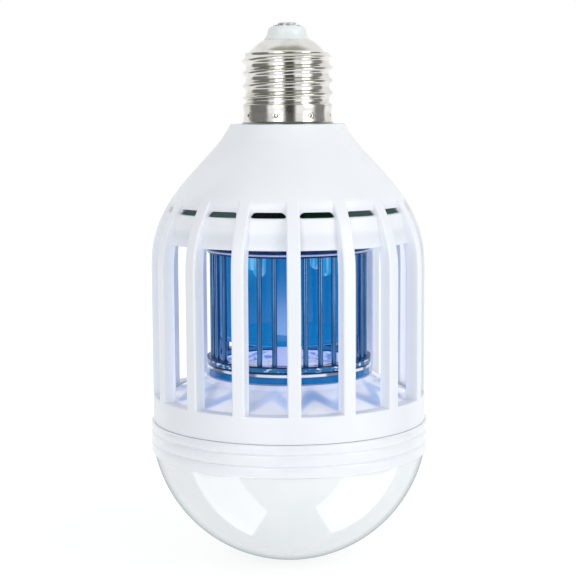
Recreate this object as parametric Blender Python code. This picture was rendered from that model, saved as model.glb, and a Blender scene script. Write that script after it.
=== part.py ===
"""Insect killer light bulb: a screw-cap lamp with an electrified rod grid inside a ribbed cage.

The centre of the cap's contact is the origin, and the lamp hangs below it along -Z. Front is -Y.
"""
import math

import bmesh
import bpy

MM = 0.001

# Seats: every piece keeps this gap to the one it touches
SEAT_GAP = 0.3 * MM

# Screw cap
CONTACT_RADIUS = 2.7 * MM
CONTACT_THICKNESS = 0.7 * MM
CONTACT_CHAMFER = 0.3 * MM
CONTACT_STEM_RADIUS = 1.0 * MM
CONTACT_STEM_LENGTH = 2.4 * MM
INSULATOR_TOP_RADIUS = 5.35 * MM
INSULATOR_HEIGHT = 4.1 * MM
INSULATOR_CORNER = 1.2 * MM
INSULATOR_FLANGE_DEPTH = 1.6 * MM
INSULATOR_FLANGE_SHARE = 0.7
LEAD_BORE_RADIUS = 1.6 * MM
SHELL_MOUTH_RADIUS = 7.2 * MM
SHELL_SHOULDER_HEIGHT = 3.6 * MM
SHELL_CONE_BULGE = 0.3 * MM
SHELL_LEDGE_WIDTH = 1.1 * MM
SHELL_LEDGE_DROP = 0.2 * MM
SHELL_WALL = 0.45 * MM
THREAD_CREST_RADIUS = 13.15 * MM
THREAD_DEPTH = 1.05 * MM
THREAD_PITCH = 3.629 * MM
THREAD_LENGTH = 14.0 * MM
THREAD_START_ANGLE = math.radians(144)
SHELL_SKIRT_RADIUS = 12.95 * MM
SHELL_SKIRT_HEIGHT = 6.3 * MM
SHELL_STEP_HEIGHT = 0.85 * MM
SHELL_FOOT_FLARE = 0.45 * MM
SHELL_FOOT_HEIGHT = 0.6 * MM

# White cage housing: neck, bell, ribs and lower band, moulded as one
NECK_WALL = 2.0 * MM
RIM_LEDGE = 3.2 * MM
RIM_CHAMFER = 0.5 * MM
BELL_FLARE_RADIUS = 27.0 * MM
BELL_FLARE_HEIGHT = 12.9 * MM
BELL_SHOULDER_HEIGHT = 27.8 * MM
BODY_RADIUS = 40.1 * MM
BELL_TOP_SLOPE = 0.5
BELL_FLARE_SLOPE = 0.95
BELL_FLARE_REACH = 0.65
BELL_BODY_REACH = 0.38
HOUSING_WALL = 2.0 * MM
BELL_WALL_ACROSS = 2.6 * MM
RIB_COUNT = 16
RIB_WIDTH = 3.5 * MM
RIB_DEPTH = 3.8 * MM
POCKET_DROP = 21.3 * MM
POCKET_RAMP_HEIGHT = 2.3 * MM
POCKET_DEPTH = 2.6 * MM
SLOT_HEIGHT = 1.4 * MM
PANEL_HEIGHT = 8.8 * MM
WINDOW_HEIGHT = 44.9 * MM
LOWER_BAND_HEIGHT = 7.5 * MM
SPIGOT_LENGTH = 3.8 * MM
SPIGOT_WALL = 1.5 * MM

# Ceiling plate of the insect chamber
CEILING_THICKNESS = 1.6 * MM
CEILING_SEAT_STEP = 0.8 * MM

# Driver board and what it carries
BOARD_WIDTH = 30.0 * MM
BOARD_HEIGHT = 24.0 * MM
BOARD_THICKNESS = 1.6 * MM
CAPACITOR_RADIUS = 5.0 * MM
CAPACITOR_LENGTH = 16.0 * MM
CAPACITOR_BEAD = 0.6 * MM
FILM_CAPACITOR_SIZE = (11.0 * MM, 5.0 * MM, 9.0 * MM)
FILM_CAPACITOR_CORNER = 0.6 * MM
TRANSFORMER_SIZE = (12.0 * MM, 9.0 * MM, 12.0 * MM)
TRANSFORMER_CORNER = 0.8 * MM
BRIDGE_SIZE = (6.5 * MM, 2.6 * MM, 5.0 * MM)
BRIDGE_CORNER = 0.3 * MM
CHOKE_RADIUS = 3.6 * MM
CHOKE_LENGTH = 7.0 * MM
CHOKE_WAIST_SHARE = 0.75
CHOKE_FLANGE_SHARE = 0.15
LEAD_RADIUS = 0.7 * MM

# Rod grid in its two clear rings
ROD_COUNT = 32
ROD_RADIUS = 0.75 * MM
ROD_CIRCLE_RADIUS = 22.4 * MM
GRID_CLOCKING = math.radians(-1.2)
RING_WIDTH = 3.8 * MM
TOP_RING_HEIGHT = 3.0 * MM
BOTTOM_RING_HEIGHT = 4.9 * MM
RING_GROOVE_DEPTH = 0.6 * MM

# Lamp of the chamber: clear blue tube, board, four lens LEDs, wire column
TUBE_WALL = 1.0 * MM
TUBE_LENGTH = 28.5 * MM
UV_BOARD_THICKNESS = 1.2 * MM
UV_LED_COUNT = 4
UV_LED_CIRCLE_RADIUS = 13.5 * MM
UV_LED_CLOCKING = math.radians(5.0)
UV_LED_RADIUS = 2.5 * MM
UV_LED_FLANGE = 0.4 * MM
UV_LED_FLANGE_HEIGHT = 1.0 * MM
UV_LED_LENGTH = 8.6 * MM
COLUMN_RADIUS = 3.8 * MM
COLUMN_BORE_RADIUS = 2.8 * MM
COLUMN_COLLAR_RADIUS = 6.0 * MM
COLUMN_COLLAR_HEIGHT = 1.4 * MM

# Chamber floor, light source and diffuser
FLOOR_SLOPE_DROP = 5.4 * MM
FLOOR_THICKNESS = 1.8 * MM
FLOOR_SILL_DROP = 0.8 * MM
FLOOR_RING_SEAT = 1.2 * MM
HEAT_PLATE_THICKNESS = 1.6 * MM
LED_BOARD_MARGIN = 4.25 * MM
LED_BOARD_THICKNESS = 1.2 * MM
LED_COUNT = 12
LED_CIRCLE_INSET = 9.0 * MM
LED_SIZE = 3.0 * MM
LED_HEIGHT = 0.8 * MM
COLLAR_STEP = 0.75 * MM
COLLAR_BAND_HEIGHTS = (2.6 * MM, 3.3 * MM, 3.0 * MM)
COLLAR_GROOVE = 0.35 * MM
DOME_RIM_STEP = 0.1 * MM
DOME_DEPTH = 32.9 * MM
DOME_WALL = 1.8 * MM

# Facets round a full circle
ROUND_SEGMENTS = 40
HOUSING_SEGMENTS = 48
RING_SEGMENTS = 32
SMALL_SEGMENTS = 12
ROD_SIDES = 8
THREAD_ROWS_PER_TURN = 5

# Heights, from the contact downwards
Z_INSULATOR = -CONTACT_THICKNESS - SEAT_GAP
Z_SHELL_MOUTH = Z_INSULATOR - INSULATOR_HEIGHT
Z_THREAD = Z_SHELL_MOUTH - SHELL_SHOULDER_HEIGHT
Z_SKIRT = Z_THREAD - THREAD_LENGTH
Z_SHELL_FOOT = Z_SKIRT - SHELL_SKIRT_HEIGHT
Z_SHELL_STEP = Z_SKIRT - SHELL_STEP_HEIGHT
Z_NECK_TOP = Z_SHELL_STEP - SEAT_GAP
Z_RIM = Z_SHELL_FOOT
Z_FLARE_END = Z_RIM - BELL_FLARE_HEIGHT
Z_BELL_END = Z_FLARE_END - BELL_SHOULDER_HEIGHT
Z_POCKET = Z_RIM - POCKET_DROP
Z_SLOT_TOP = Z_POCKET - POCKET_RAMP_HEIGHT
Z_SLOT_BOTTOM = Z_SLOT_TOP - SLOT_HEIGHT
Z_WINDOW_TOP = Z_SLOT_BOTTOM - PANEL_HEIGHT
Z_WINDOW_BOTTOM = Z_WINDOW_TOP - WINDOW_HEIGHT
Z_BAND_BOTTOM = Z_WINDOW_BOTTOM - LOWER_BAND_HEIGHT
Z_SPIGOT_BOTTOM = Z_BAND_BOTTOM - SPIGOT_LENGTH
Z_CEILING_BOTTOM = Z_WINDOW_TOP
Z_CEILING_TOP = Z_CEILING_BOTTOM + CEILING_THICKNESS
Z_GRID_TOP = Z_CEILING_BOTTOM - SEAT_GAP
Z_FLOOR_SILL = Z_WINDOW_BOTTOM - FLOOR_SILL_DROP
Z_FLOOR_CENTRE = Z_FLOOR_SILL + FLOOR_SLOPE_DROP + FLOOR_RING_SEAT
Z_GRID_BOTTOM = Z_FLOOR_CENTRE + SEAT_GAP
Z_HEAT_PLATE_TOP = Z_SPIGOT_BOTTOM - SEAT_GAP
Z_HEAT_PLATE_BOTTOM = Z_HEAT_PLATE_TOP - HEAT_PLATE_THICKNESS
Z_COLLAR_TOP = Z_BAND_BOTTOM - SEAT_GAP
Z_COLLAR_BOTTOM = Z_COLLAR_TOP - sum(COLLAR_BAND_HEIGHTS)
Z_DOME_RIM = Z_COLLAR_BOTTOM - SEAT_GAP

# Radii that follow from what a piece fits
THREAD_ROOT_RADIUS = THREAD_CREST_RADIUS - THREAD_DEPTH
SHELL_CONE_RADIUS = THREAD_ROOT_RADIUS - SHELL_LEDGE_WIDTH
SHELL_BORE_RADIUS = THREAD_ROOT_RADIUS - SHELL_WALL
NECK_RADIUS = SHELL_SKIRT_RADIUS - SHELL_WALL - SEAT_GAP
NECK_BORE_RADIUS = NECK_RADIUS - NECK_WALL
FOOT_SEAT_RADIUS = SHELL_SKIRT_RADIUS + SHELL_FOOT_FLARE + SEAT_GAP
RIM_RADIUS = FOOT_SEAT_RADIUS + RIM_LEDGE
RIB_INNER_RADIUS = BODY_RADIUS - RIB_DEPTH
COLLAR_RADIUS = BODY_RADIUS + COLLAR_STEP
DOME_RIM_RADIUS = BODY_RADIUS - DOME_RIM_STEP
SPIGOT_RADIUS = COLLAR_RADIUS - SPIGOT_WALL - SEAT_GAP
BAND_INNER_RADIUS = SPIGOT_RADIUS - SPIGOT_WALL
LED_BOARD_RADIUS = SPIGOT_RADIUS - DOME_WALL - LED_BOARD_MARGIN
LED_CIRCLE_RADIUS = LED_BOARD_RADIUS - LED_CIRCLE_INSET
RING_OUTER_RADIUS = ROD_CIRCLE_RADIUS + RING_WIDTH / 2
RING_INNER_RADIUS = ROD_CIRCLE_RADIUS - RING_WIDTH / 2
ROD_HOLE_RADIUS = ROD_RADIUS + SEAT_GAP
TUBE_RADIUS = RING_INNER_RADIUS - SEAT_GAP


def clear_scene():
    """Remove every object that the file opened with."""
    for obj in list(bpy.data.objects):
        bpy.data.objects.remove(obj, do_unlink=True)


def make_material(name, colour, roughness, metallic=0.0, alpha=1.0):
    """One Principled finish in the piece's own colour."""
    material = bpy.data.materials.new(name)
    material.use_nodes = True
    shader = material.node_tree.nodes["Principled BSDF"]
    shader.inputs["Base Color"].default_value = (*colour, 1.0)
    shader.inputs["Roughness"].default_value = roughness
    shader.inputs["Metallic"].default_value = metallic
    shader.inputs["Alpha"].default_value = alpha
    material.diffuse_color = (*colour, alpha)
    return material


def add_object(name, bm, material, sharp_degrees=35):
    """Turn a bmesh into a named object with smooth round faces and crisp edges."""
    bmesh.ops.recalc_face_normals(bm, faces=bm.faces)
    mesh = bpy.data.meshes.new(name)
    bm.to_mesh(mesh)
    bm.free()
    mesh.shade_smooth()
    mesh.set_sharp_from_angle(angle=math.radians(sharp_degrees))
    if material:
        mesh.materials.append(material)
    obj = bpy.data.objects.new(name, mesh)
    bpy.context.scene.collection.objects.link(obj)
    return obj


def cut(target, cutter):
    """Subtract a hidden cutter from an object."""
    cutter.hide_render = True
    cutter.display_type = "WIRE"
    modifier = target.modifiers.new("cut_" + cutter.name, "BOOLEAN")
    modifier.operation = "DIFFERENCE"
    modifier.solver = "EXACT"
    modifier.object = cutter


def around(radius, angle, z):
    """Point at a radius and an angle that is counted from the front, -Y, towards +X."""
    return (radius * math.sin(angle), -radius * math.cos(angle), z)


def add_turned(bm, outline, segments=ROUND_SEGMENTS, centre=(0.0, 0.0)):
    """Turn a closed (radius, z) outline about the vertical through centre."""
    rings = []
    for radius, z in outline:
        if radius < 1e-9:
            rings.append([bm.verts.new((centre[0], centre[1], z))] * segments)
            continue
        ring = []
        for step in range(segments):
            x, y, height = around(radius, 2 * math.pi * step / segments, z)
            ring.append(bm.verts.new((centre[0] + x, centre[1] + y, height)))
        rings.append(ring)
    for index, ring in enumerate(rings):
        following = rings[(index + 1) % len(rings)]
        if ring[0] is ring[1] and following[0] is following[1]:
            continue
        for step in range(segments):
            corner = (step + 1) % segments
            loop = [ring[step], ring[corner], following[corner], following[step]]
            bm.faces.new(list(dict.fromkeys(loop)))


def turned_object(name, outline, material, segments=ROUND_SEGMENTS, centre=(0.0, 0.0)):
    """A single turned piece."""
    bm = bmesh.new()
    add_turned(bm, outline, segments, centre)
    return add_object(name, bm, material)


def bezier(start, start_handle, end_handle, end, steps):
    """Points on a cubic curve, without its end point."""
    points = []
    for index in range(steps):
        t = index / steps
        weights = ((1 - t) ** 3, 3 * t * (1 - t) ** 2, 3 * t * t * (1 - t), t ** 3)
        corners = (start, start_handle, end_handle, end)
        points.append(tuple(sum(w * c[axis] for w, c in zip(weights, corners)) for axis in (0, 1)))
    return points


def add_block(bm, centre, size, bevel=0.0):
    """A box, with its edges bevelled where a width is given."""
    result = bmesh.ops.create_cube(bm, size=1.0)
    corners = result["verts"]
    for vert in corners:
        for axis in range(3):
            vert.co[axis] = centre[axis] + vert.co[axis] * size[axis]
    if bevel:
        edges = list({edge for vert in corners for edge in vert.link_edges})
        bmesh.ops.bevel(bm, geom=edges, offset=bevel, segments=1, affect="EDGES")


def lead_object(name, points, material):
    """A round insulated lead along a smooth curve through the given points."""
    curve = bpy.data.curves.new(name, "CURVE")
    curve.dimensions = "3D"
    curve.bevel_depth = LEAD_RADIUS
    curve.bevel_resolution = 1
    curve.use_fill_caps = True
    spline = curve.splines.new("POLY")
    path = smooth_path(points, 4)
    spline.points.add(len(path) - 1)
    for spline_point, point in zip(spline.points, path):
        spline_point.co = (*point, 1.0)
    curve.materials.append(material)
    obj = bpy.data.objects.new(name, curve)
    bpy.context.scene.collection.objects.link(obj)
    return obj


def smooth_path(points, steps):
    """Catmull-Rom curve through the points."""
    padded = [points[0], *points, points[-1]]
    path = []
    for before, start, end, after in zip(padded, padded[1:], padded[2:], padded[3:]):
        for index in range(steps):
            t = index / steps
            path.append(tuple(
                0.5 * (2 * b + (c - a) * t + (2 * a - 5 * b + 4 * c - d) * t * t
                       + (3 * b - a - 3 * c + d) * t ** 3)
                for a, b, c, d in zip(before, start, end, after)))
    path.append(points[-1])
    return path


def shoulder_line(offset, share=1.0, steps=4):
    """Slightly bulged cone of the cap's shoulder, drawn inwards by an offset, for a share of its length."""
    run = SHELL_CONE_RADIUS - SHELL_MOUTH_RADIUS
    fall = SHELL_SHOULDER_HEIGHT - SHELL_LEDGE_DROP
    lowered = offset * math.hypot(run, fall) / run
    points = []
    for index in range(steps + 1):
        along = share * index / steps
        bulge = 4 * SHELL_CONE_BULGE * along * (1 - along)
        points.append((SHELL_MOUTH_RADIUS + run * along, Z_SHELL_MOUTH - lowered - fall * along + bulge))
    return points


def make_contact(material):
    """Centre contact: a flat button with a stem down into the insulator."""
    bottom = -CONTACT_THICKNESS
    outline = [
        (0.0, 0.0),
        (CONTACT_RADIUS - CONTACT_CHAMFER, 0.0),
        (CONTACT_RADIUS, -CONTACT_CHAMFER),
        (CONTACT_RADIUS, bottom),
        (CONTACT_STEM_RADIUS, bottom),
        (CONTACT_STEM_RADIUS, bottom - CONTACT_STEM_LENGTH),
        (0.0, bottom - CONTACT_STEM_LENGTH),
    ]
    turned_object("centre_contact", outline, material, 16)


def make_insulator(material):
    """White plug between contact and shell, held by a flange under the shell's shoulder."""
    neck = SHELL_MOUTH_RADIUS - SEAT_GAP
    flange = shoulder_line(SHELL_WALL + SEAT_GAP, INSULATOR_FLANGE_SHARE, 3)
    outline = [(CONTACT_STEM_RADIUS + SEAT_GAP, Z_INSULATOR)]
    for index in range(3):
        angle = math.pi / 2 * index / 2
        outline.append((INSULATOR_TOP_RADIUS - INSULATOR_CORNER * (1 - math.sin(angle)),
                        Z_INSULATOR - INSULATOR_CORNER * (1 - math.cos(angle))))
    outline.append((neck, Z_SHELL_MOUTH))
    outline.append((neck, flange[0][1]))
    outline += flange[1:]
    base = flange[-1][1] - INSULATOR_FLANGE_DEPTH
    outline.append((flange[-1][0], base))
    outline.append((LEAD_BORE_RADIUS, base))
    stem_end = -CONTACT_THICKNESS - CONTACT_STEM_LENGTH - SEAT_GAP
    outline.append((LEAD_BORE_RADIUS, stem_end))
    outline.append((CONTACT_STEM_RADIUS + SEAT_GAP, stem_end))
    turned_object("cap_insulator", outline, material, 24)


def thread_radius(angle, z):
    """Rolled right-hand thread that runs out at both ends."""
    turn = (z - Z_THREAD) / THREAD_PITCH - (angle - THREAD_START_ANGLE) / (2 * math.pi)
    wave = 0.5 + 0.5 * math.cos(2 * math.pi * turn)
    run_out = THREAD_PITCH / 3
    inside = min(Z_THREAD - z, z - Z_SKIRT) / run_out
    return THREAD_ROOT_RADIUS + THREAD_DEPTH * wave * max(0.0, min(1.0, inside))


def make_shell(material):
    """Rolled metal shell: cone and ledge, thread, skirt and flared foot, with a plain bore."""
    bm = bmesh.new()
    rows = round(THREAD_LENGTH / THREAD_PITCH * THREAD_ROWS_PER_TURN)
    skirt_bore = SHELL_SKIRT_RADIUS - SHELL_WALL
    foot_top = Z_SHELL_FOOT + SHELL_FOOT_HEIGHT
    cone_bore = shoulder_line(SHELL_WALL)
    outline = [(radius, z, False) for radius, z in shoulder_line(0.0)]
    outline.append((THREAD_ROOT_RADIUS, Z_THREAD, False))
    outline += [(0.0, Z_THREAD - THREAD_LENGTH * row / rows, True) for row in range(1, rows + 1)]
    outline += [
        (SHELL_SKIRT_RADIUS, Z_SHELL_STEP, False),
        (SHELL_SKIRT_RADIUS, foot_top, False),
        (SHELL_SKIRT_RADIUS + SHELL_FOOT_FLARE, Z_SHELL_FOOT, False),
        (skirt_bore, Z_SHELL_FOOT, False),
        (skirt_bore, Z_SHELL_STEP, False),
        (SHELL_BORE_RADIUS, Z_SKIRT, False),
        (SHELL_BORE_RADIUS, cone_bore[-1][1] - SHELL_LEDGE_DROP, False),
    ]
    outline += [(radius, z, False) for radius, z in reversed(cone_bore)]
    rings = []
    for radius, z, threaded in outline:
        ring = []
        for index in range(RING_SEGMENTS):
            angle = 2 * math.pi * index / RING_SEGMENTS
            ring.append(bm.verts.new(around(thread_radius(angle, z) if threaded else radius, angle, z)))
        rings.append(ring)
    for ring, following in zip(rings, rings[1:] + rings[:1]):
        for index in range(RING_SEGMENTS):
            corner = (index + 1) % RING_SEGMENTS
            bm.faces.new((ring[index], ring[corner], following[corner], following[index]))
    add_object("screw_shell", bm, material, 60)


def bell_outline():
    """Outer curve of the bell from the rim down to the straight body."""
    start = (RIM_RADIUS, Z_RIM - RIM_CHAMFER)
    flare = (BELL_FLARE_RADIUS, Z_FLARE_END)
    end = (BODY_RADIUS, Z_BELL_END)
    third = BELL_FLARE_HEIGHT / 3
    upper = bezier(start, (start[0] + BELL_TOP_SLOPE * third, start[1] - third),
                   (flare[0] - BELL_FLARE_SLOPE * third, flare[1] + third), flare, 3)
    reach = (BODY_RADIUS - BELL_FLARE_RADIUS) * BELL_FLARE_REACH
    lower = bezier(flare, (flare[0] + reach, flare[1] - reach / BELL_FLARE_SLOPE),
                   (BODY_RADIUS, end[1] + BELL_BODY_REACH * BELL_SHOULDER_HEIGHT), end, 7)
    return upper + lower + [end]


def bell_radius(z):
    """Outer radius of the bell at a height."""
    outline = bell_outline()
    for (upper, upper_z), (lower, lower_z) in zip(outline, outline[1:]):
        if lower_z <= z <= upper_z:
            share = (upper_z - z) / (upper_z - lower_z)
            return upper + (lower - upper) * share
    return outline[0][0] if z > outline[0][1] else BODY_RADIUS


def pocket_depth(z):
    """How far the panel between two ribs lies behind the bell's surface."""
    share = (Z_POCKET - z) / POCKET_RAMP_HEIGHT
    return POCKET_DEPTH * max(0.0, min(1.0, share))


def panel_radius(z):
    """Outer radius of the panel between two ribs."""
    return bell_radius(z) - pocket_depth(z)


def ceiling_seat_radius():
    """Radius of the counterbore that takes the ceiling plate."""
    return panel_radius(Z_CEILING_TOP) - BELL_WALL_ACROSS + CEILING_SEAT_STEP


def housing_outline():
    """Section of the housing before its windows are cut; the shell's foot stands in a shallow seat."""
    inner_top = Z_RIM - HOUSING_WALL
    seat_top = Z_CEILING_TOP + SEAT_GAP
    outline = [
        (NECK_BORE_RADIUS, Z_NECK_TOP),
        (NECK_RADIUS, Z_NECK_TOP),
        (NECK_RADIUS, Z_RIM - SEAT_GAP),
        (FOOT_SEAT_RADIUS, Z_RIM - SEAT_GAP),
        (FOOT_SEAT_RADIUS, Z_RIM),
        (RIM_RADIUS - RIM_CHAMFER, Z_RIM),
    ]
    outline += bell_outline()
    outline += [
        (BODY_RADIUS, Z_BAND_BOTTOM),
        (SPIGOT_RADIUS, Z_BAND_BOTTOM),
        (SPIGOT_RADIUS, Z_SPIGOT_BOTTOM),
        (BAND_INNER_RADIUS, Z_SPIGOT_BOTTOM),
        (BAND_INNER_RADIUS, Z_FLOOR_SILL),
        (RIB_INNER_RADIUS, Z_FLOOR_SILL),
        (RIB_INNER_RADIUS, Z_WINDOW_TOP),
        (ceiling_seat_radius(), Z_WINDOW_TOP),
        (ceiling_seat_radius(), seat_top),
    ]
    levels = 4
    for index in range(levels):
        z = seat_top + (inner_top - seat_top) * index / levels
        outline.append((panel_radius(z) - BELL_WALL_ACROSS, z))
    outline.append((NECK_BORE_RADIUS, inner_top))
    return outline


def add_gap_solid(bm, middle, section, columns):
    """Sweep a closed (radius, z) section across the gap between two parallel-sided ribs."""
    lines = []
    for column in range(columns + 1):
        across = 2 * column / columns - 1
        line = []
        for radius, z in section:
            half_angle = math.pi / RIB_COUNT - math.asin(RIB_WIDTH / 2 / radius)
            line.append(bm.verts.new(around(radius, middle + across * half_angle, z)))
        lines.append(line)
    count = len(section)
    for line, following in zip(lines, lines[1:]):
        for index in range(count):
            corner = (index + 1) % count
            bm.faces.new((line[index], line[corner], following[corner], following[index]))
    bm.faces.new(lines[0])
    bm.faces.new(reversed(lines[-1]))


def gap_section():
    """Section of what is open between two ribs: pocket, vent slot, panel recess and window."""
    outside = BODY_RADIUS + HOUSING_WALL
    behind_slot = panel_radius(Z_SLOT_TOP) - BELL_WALL_ACROSS - HOUSING_WALL
    behind_ribs = RIB_INNER_RADIUS - HOUSING_WALL
    panel_levels = 2
    section = [
        (bell_radius(Z_POCKET), Z_POCKET),
        (panel_radius(Z_SLOT_TOP), Z_SLOT_TOP),
        (behind_slot, Z_SLOT_TOP),
        (behind_slot, Z_SLOT_BOTTOM),
    ]
    for index in range(panel_levels + 1):
        z = Z_SLOT_BOTTOM - PANEL_HEIGHT * index / panel_levels
        section.append((panel_radius(z), z))
    section += [
        (behind_ribs, Z_WINDOW_TOP),
        (behind_ribs, Z_WINDOW_BOTTOM),
        (outside, Z_WINDOW_BOTTOM),
        (outside, Z_POCKET),
    ]
    return section


def make_housing(material):
    """Bell, ribs and bands in one moulding, open at the vent slots and the windows."""
    housing = turned_object("cage_housing", housing_outline(), material, HOUSING_SEGMENTS)
    bm = bmesh.new()
    for index in range(RIB_COUNT):
        add_gap_solid(bm, 2 * math.pi * (index + 0.5) / RIB_COUNT, gap_section(), 2)
    cut(housing, add_object("gap_cutter", bm, None))


def make_ceiling(material):
    """White plate over the chamber, with a hole for the lamp's lead."""
    radius = ceiling_seat_radius() - SEAT_GAP
    outline = [
        (COLUMN_BORE_RADIUS, Z_CEILING_TOP),
        (radius, Z_CEILING_TOP),
        (radius, Z_CEILING_BOTTOM),
        (COLUMN_BORE_RADIUS, Z_CEILING_BOTTOM),
    ]
    turned_object("ceiling_plate", outline, material, ROUND_SEGMENTS)


def make_driver(board_finish, can_finish, film_finish, core_finish, chip_finish, lead_finish):
    """Upright driver board on the ceiling plate, with its main components and two leads."""
    bottom = Z_CEILING_TOP + SEAT_GAP
    top = bottom + BOARD_HEIGHT
    face = BOARD_THICKNESS / 2 + SEAT_GAP
    bm = bmesh.new()
    add_block(bm, (0, 0, (top + bottom) / 2), (BOARD_WIDTH, BOARD_THICKNESS, BOARD_HEIGHT))
    add_object("driver_board", bm, board_finish)

    can_low = bottom + SEAT_GAP
    can_top = can_low + CAPACITOR_LENGTH
    outline = [
        (0.0, can_top),
        (CAPACITOR_RADIUS - CAPACITOR_BEAD, can_top),
        (CAPACITOR_RADIUS, can_top - CAPACITOR_BEAD),
        (CAPACITOR_RADIUS, can_low + CAPACITOR_BEAD),
        (CAPACITOR_RADIUS - CAPACITOR_BEAD, can_low),
        (0.0, can_low),
    ]
    can_x = -BOARD_WIDTH / 2 + CAPACITOR_RADIUS
    turned_object("bulk_capacitor", outline, can_finish, SMALL_SEGMENTS, (can_x, face + CAPACITOR_RADIUS))

    bm = bmesh.new()
    width, depth, height = FILM_CAPACITOR_SIZE
    add_block(bm, (BOARD_WIDTH / 2 - width / 2, face + depth / 2, bottom + height / 2),
              FILM_CAPACITOR_SIZE, FILM_CAPACITOR_CORNER)
    add_object("film_capacitor", bm, film_finish)

    bm = bmesh.new()
    width, depth, height = TRANSFORMER_SIZE
    add_block(bm, ((width - BOARD_WIDTH) / 2, -face - depth / 2, bottom + height / 2),
              TRANSFORMER_SIZE, TRANSFORMER_CORNER)
    add_object("boost_transformer", bm, core_finish)

    bm = bmesh.new()
    width, depth, height = BRIDGE_SIZE
    add_block(bm, (0, -face - depth / 2, top - height), BRIDGE_SIZE, BRIDGE_CORNER)
    add_object("bridge_rectifier", bm, chip_finish)

    choke_low = bottom + FILM_CAPACITOR_SIZE[2] + 2 * SEAT_GAP
    waist = CHOKE_RADIUS * CHOKE_WAIST_SHARE
    flange = CHOKE_LENGTH * CHOKE_FLANGE_SHARE
    outline = [
        (0.0, choke_low + CHOKE_LENGTH),
        (CHOKE_RADIUS, choke_low + CHOKE_LENGTH),
        (CHOKE_RADIUS, choke_low + CHOKE_LENGTH - flange),
        (waist, choke_low + CHOKE_LENGTH - flange),
        (waist, choke_low + flange),
        (CHOKE_RADIUS, choke_low + flange),
        (CHOKE_RADIUS, choke_low),
        (0.0, choke_low),
    ]
    choke_x = BOARD_WIDTH / 2 - CHOKE_RADIUS
    turned_object("input_choke", outline, core_finish, SMALL_SEGMENTS, (choke_x, face + CHOKE_RADIUS))

    stem_end = -CONTACT_THICKNESS - CONTACT_STEM_LENGTH
    lead_end = top + LEAD_RADIUS + SEAT_GAP
    live_end = -BOARD_WIDTH / 10
    lead_object("live_lead", [
        (0, 0, stem_end - SEAT_GAP),
        (0, 0, Z_THREAD),
        (live_end / 2, 0, (Z_THREAD + Z_RIM) / 2),
        (live_end, 0, Z_RIM),
        (live_end, 0, lead_end),
    ], lead_finish)
    side = NECK_BORE_RADIUS - LEAD_RADIUS - 2 * SEAT_GAP
    neutral_end = BOARD_WIDTH / 4
    lead_object("neutral_lead", [
        (SHELL_BORE_RADIUS - LEAD_RADIUS - SEAT_GAP, 0, Z_SKIRT + THREAD_PITCH),
        (side, 0, Z_NECK_TOP),
        (neutral_end, 0, Z_RIM),
        (neutral_end, 0, lead_end),
    ], lead_finish)


def rod_angles():
    """Angle of each rod round the grid."""
    return [GRID_CLOCKING + 2 * math.pi * index / ROD_COUNT for index in range(ROD_COUNT)]


def make_ring(name, top, height, grooves, material):
    """Clear ring whose through holes take the rod ends."""
    low = top - height
    outline = [(RING_INNER_RADIUS, top), (RING_OUTER_RADIUS, top)]
    band = height / (2 * grooves + 1)
    for index in range(grooves):
        groove_top = top - band * (2 * index + 1)
        outline += [
            (RING_OUTER_RADIUS, groove_top),
            (RING_OUTER_RADIUS - RING_GROOVE_DEPTH, groove_top - band / 2),
            (RING_OUTER_RADIUS, groove_top - band),
        ]
    outline += [(RING_OUTER_RADIUS, low), (RING_INNER_RADIUS, low)]
    ring = turned_object(name, outline, material, RING_SEGMENTS)
    bm = bmesh.new()
    for angle in rod_angles():
        x, y, _ = around(ROD_CIRCLE_RADIUS, angle, 0)
        hole = [(0.0, top + SEAT_GAP), (ROD_HOLE_RADIUS, top + SEAT_GAP),
                (ROD_HOLE_RADIUS, low - SEAT_GAP), (0.0, low - SEAT_GAP)]
        add_turned(bm, hole, ROD_SIDES, (x, y))
    cut(ring, add_object(name + "_holes", bm, None))


def make_grid(clear_finish, rod_finish):
    """Two clear rings and the upright rods between ceiling and floor."""
    make_ring("grid_top_ring", Z_GRID_TOP, TOP_RING_HEIGHT, 1, clear_finish)
    make_ring("grid_bottom_ring", Z_GRID_BOTTOM + BOTTOM_RING_HEIGHT, BOTTOM_RING_HEIGHT, 2, clear_finish)
    for index, angle in enumerate(rod_angles()):
        x, y, _ = around(ROD_CIRCLE_RADIUS, angle, 0)
        outline = [
            (0.0, Z_GRID_TOP), (ROD_RADIUS, Z_GRID_TOP),
            (ROD_RADIUS, Z_GRID_BOTTOM), (0.0, Z_GRID_BOTTOM),
        ]
        turned_object(f"grid_rod_{index + 1:02d}", outline, rod_finish, ROD_SIDES, (x, y))


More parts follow.
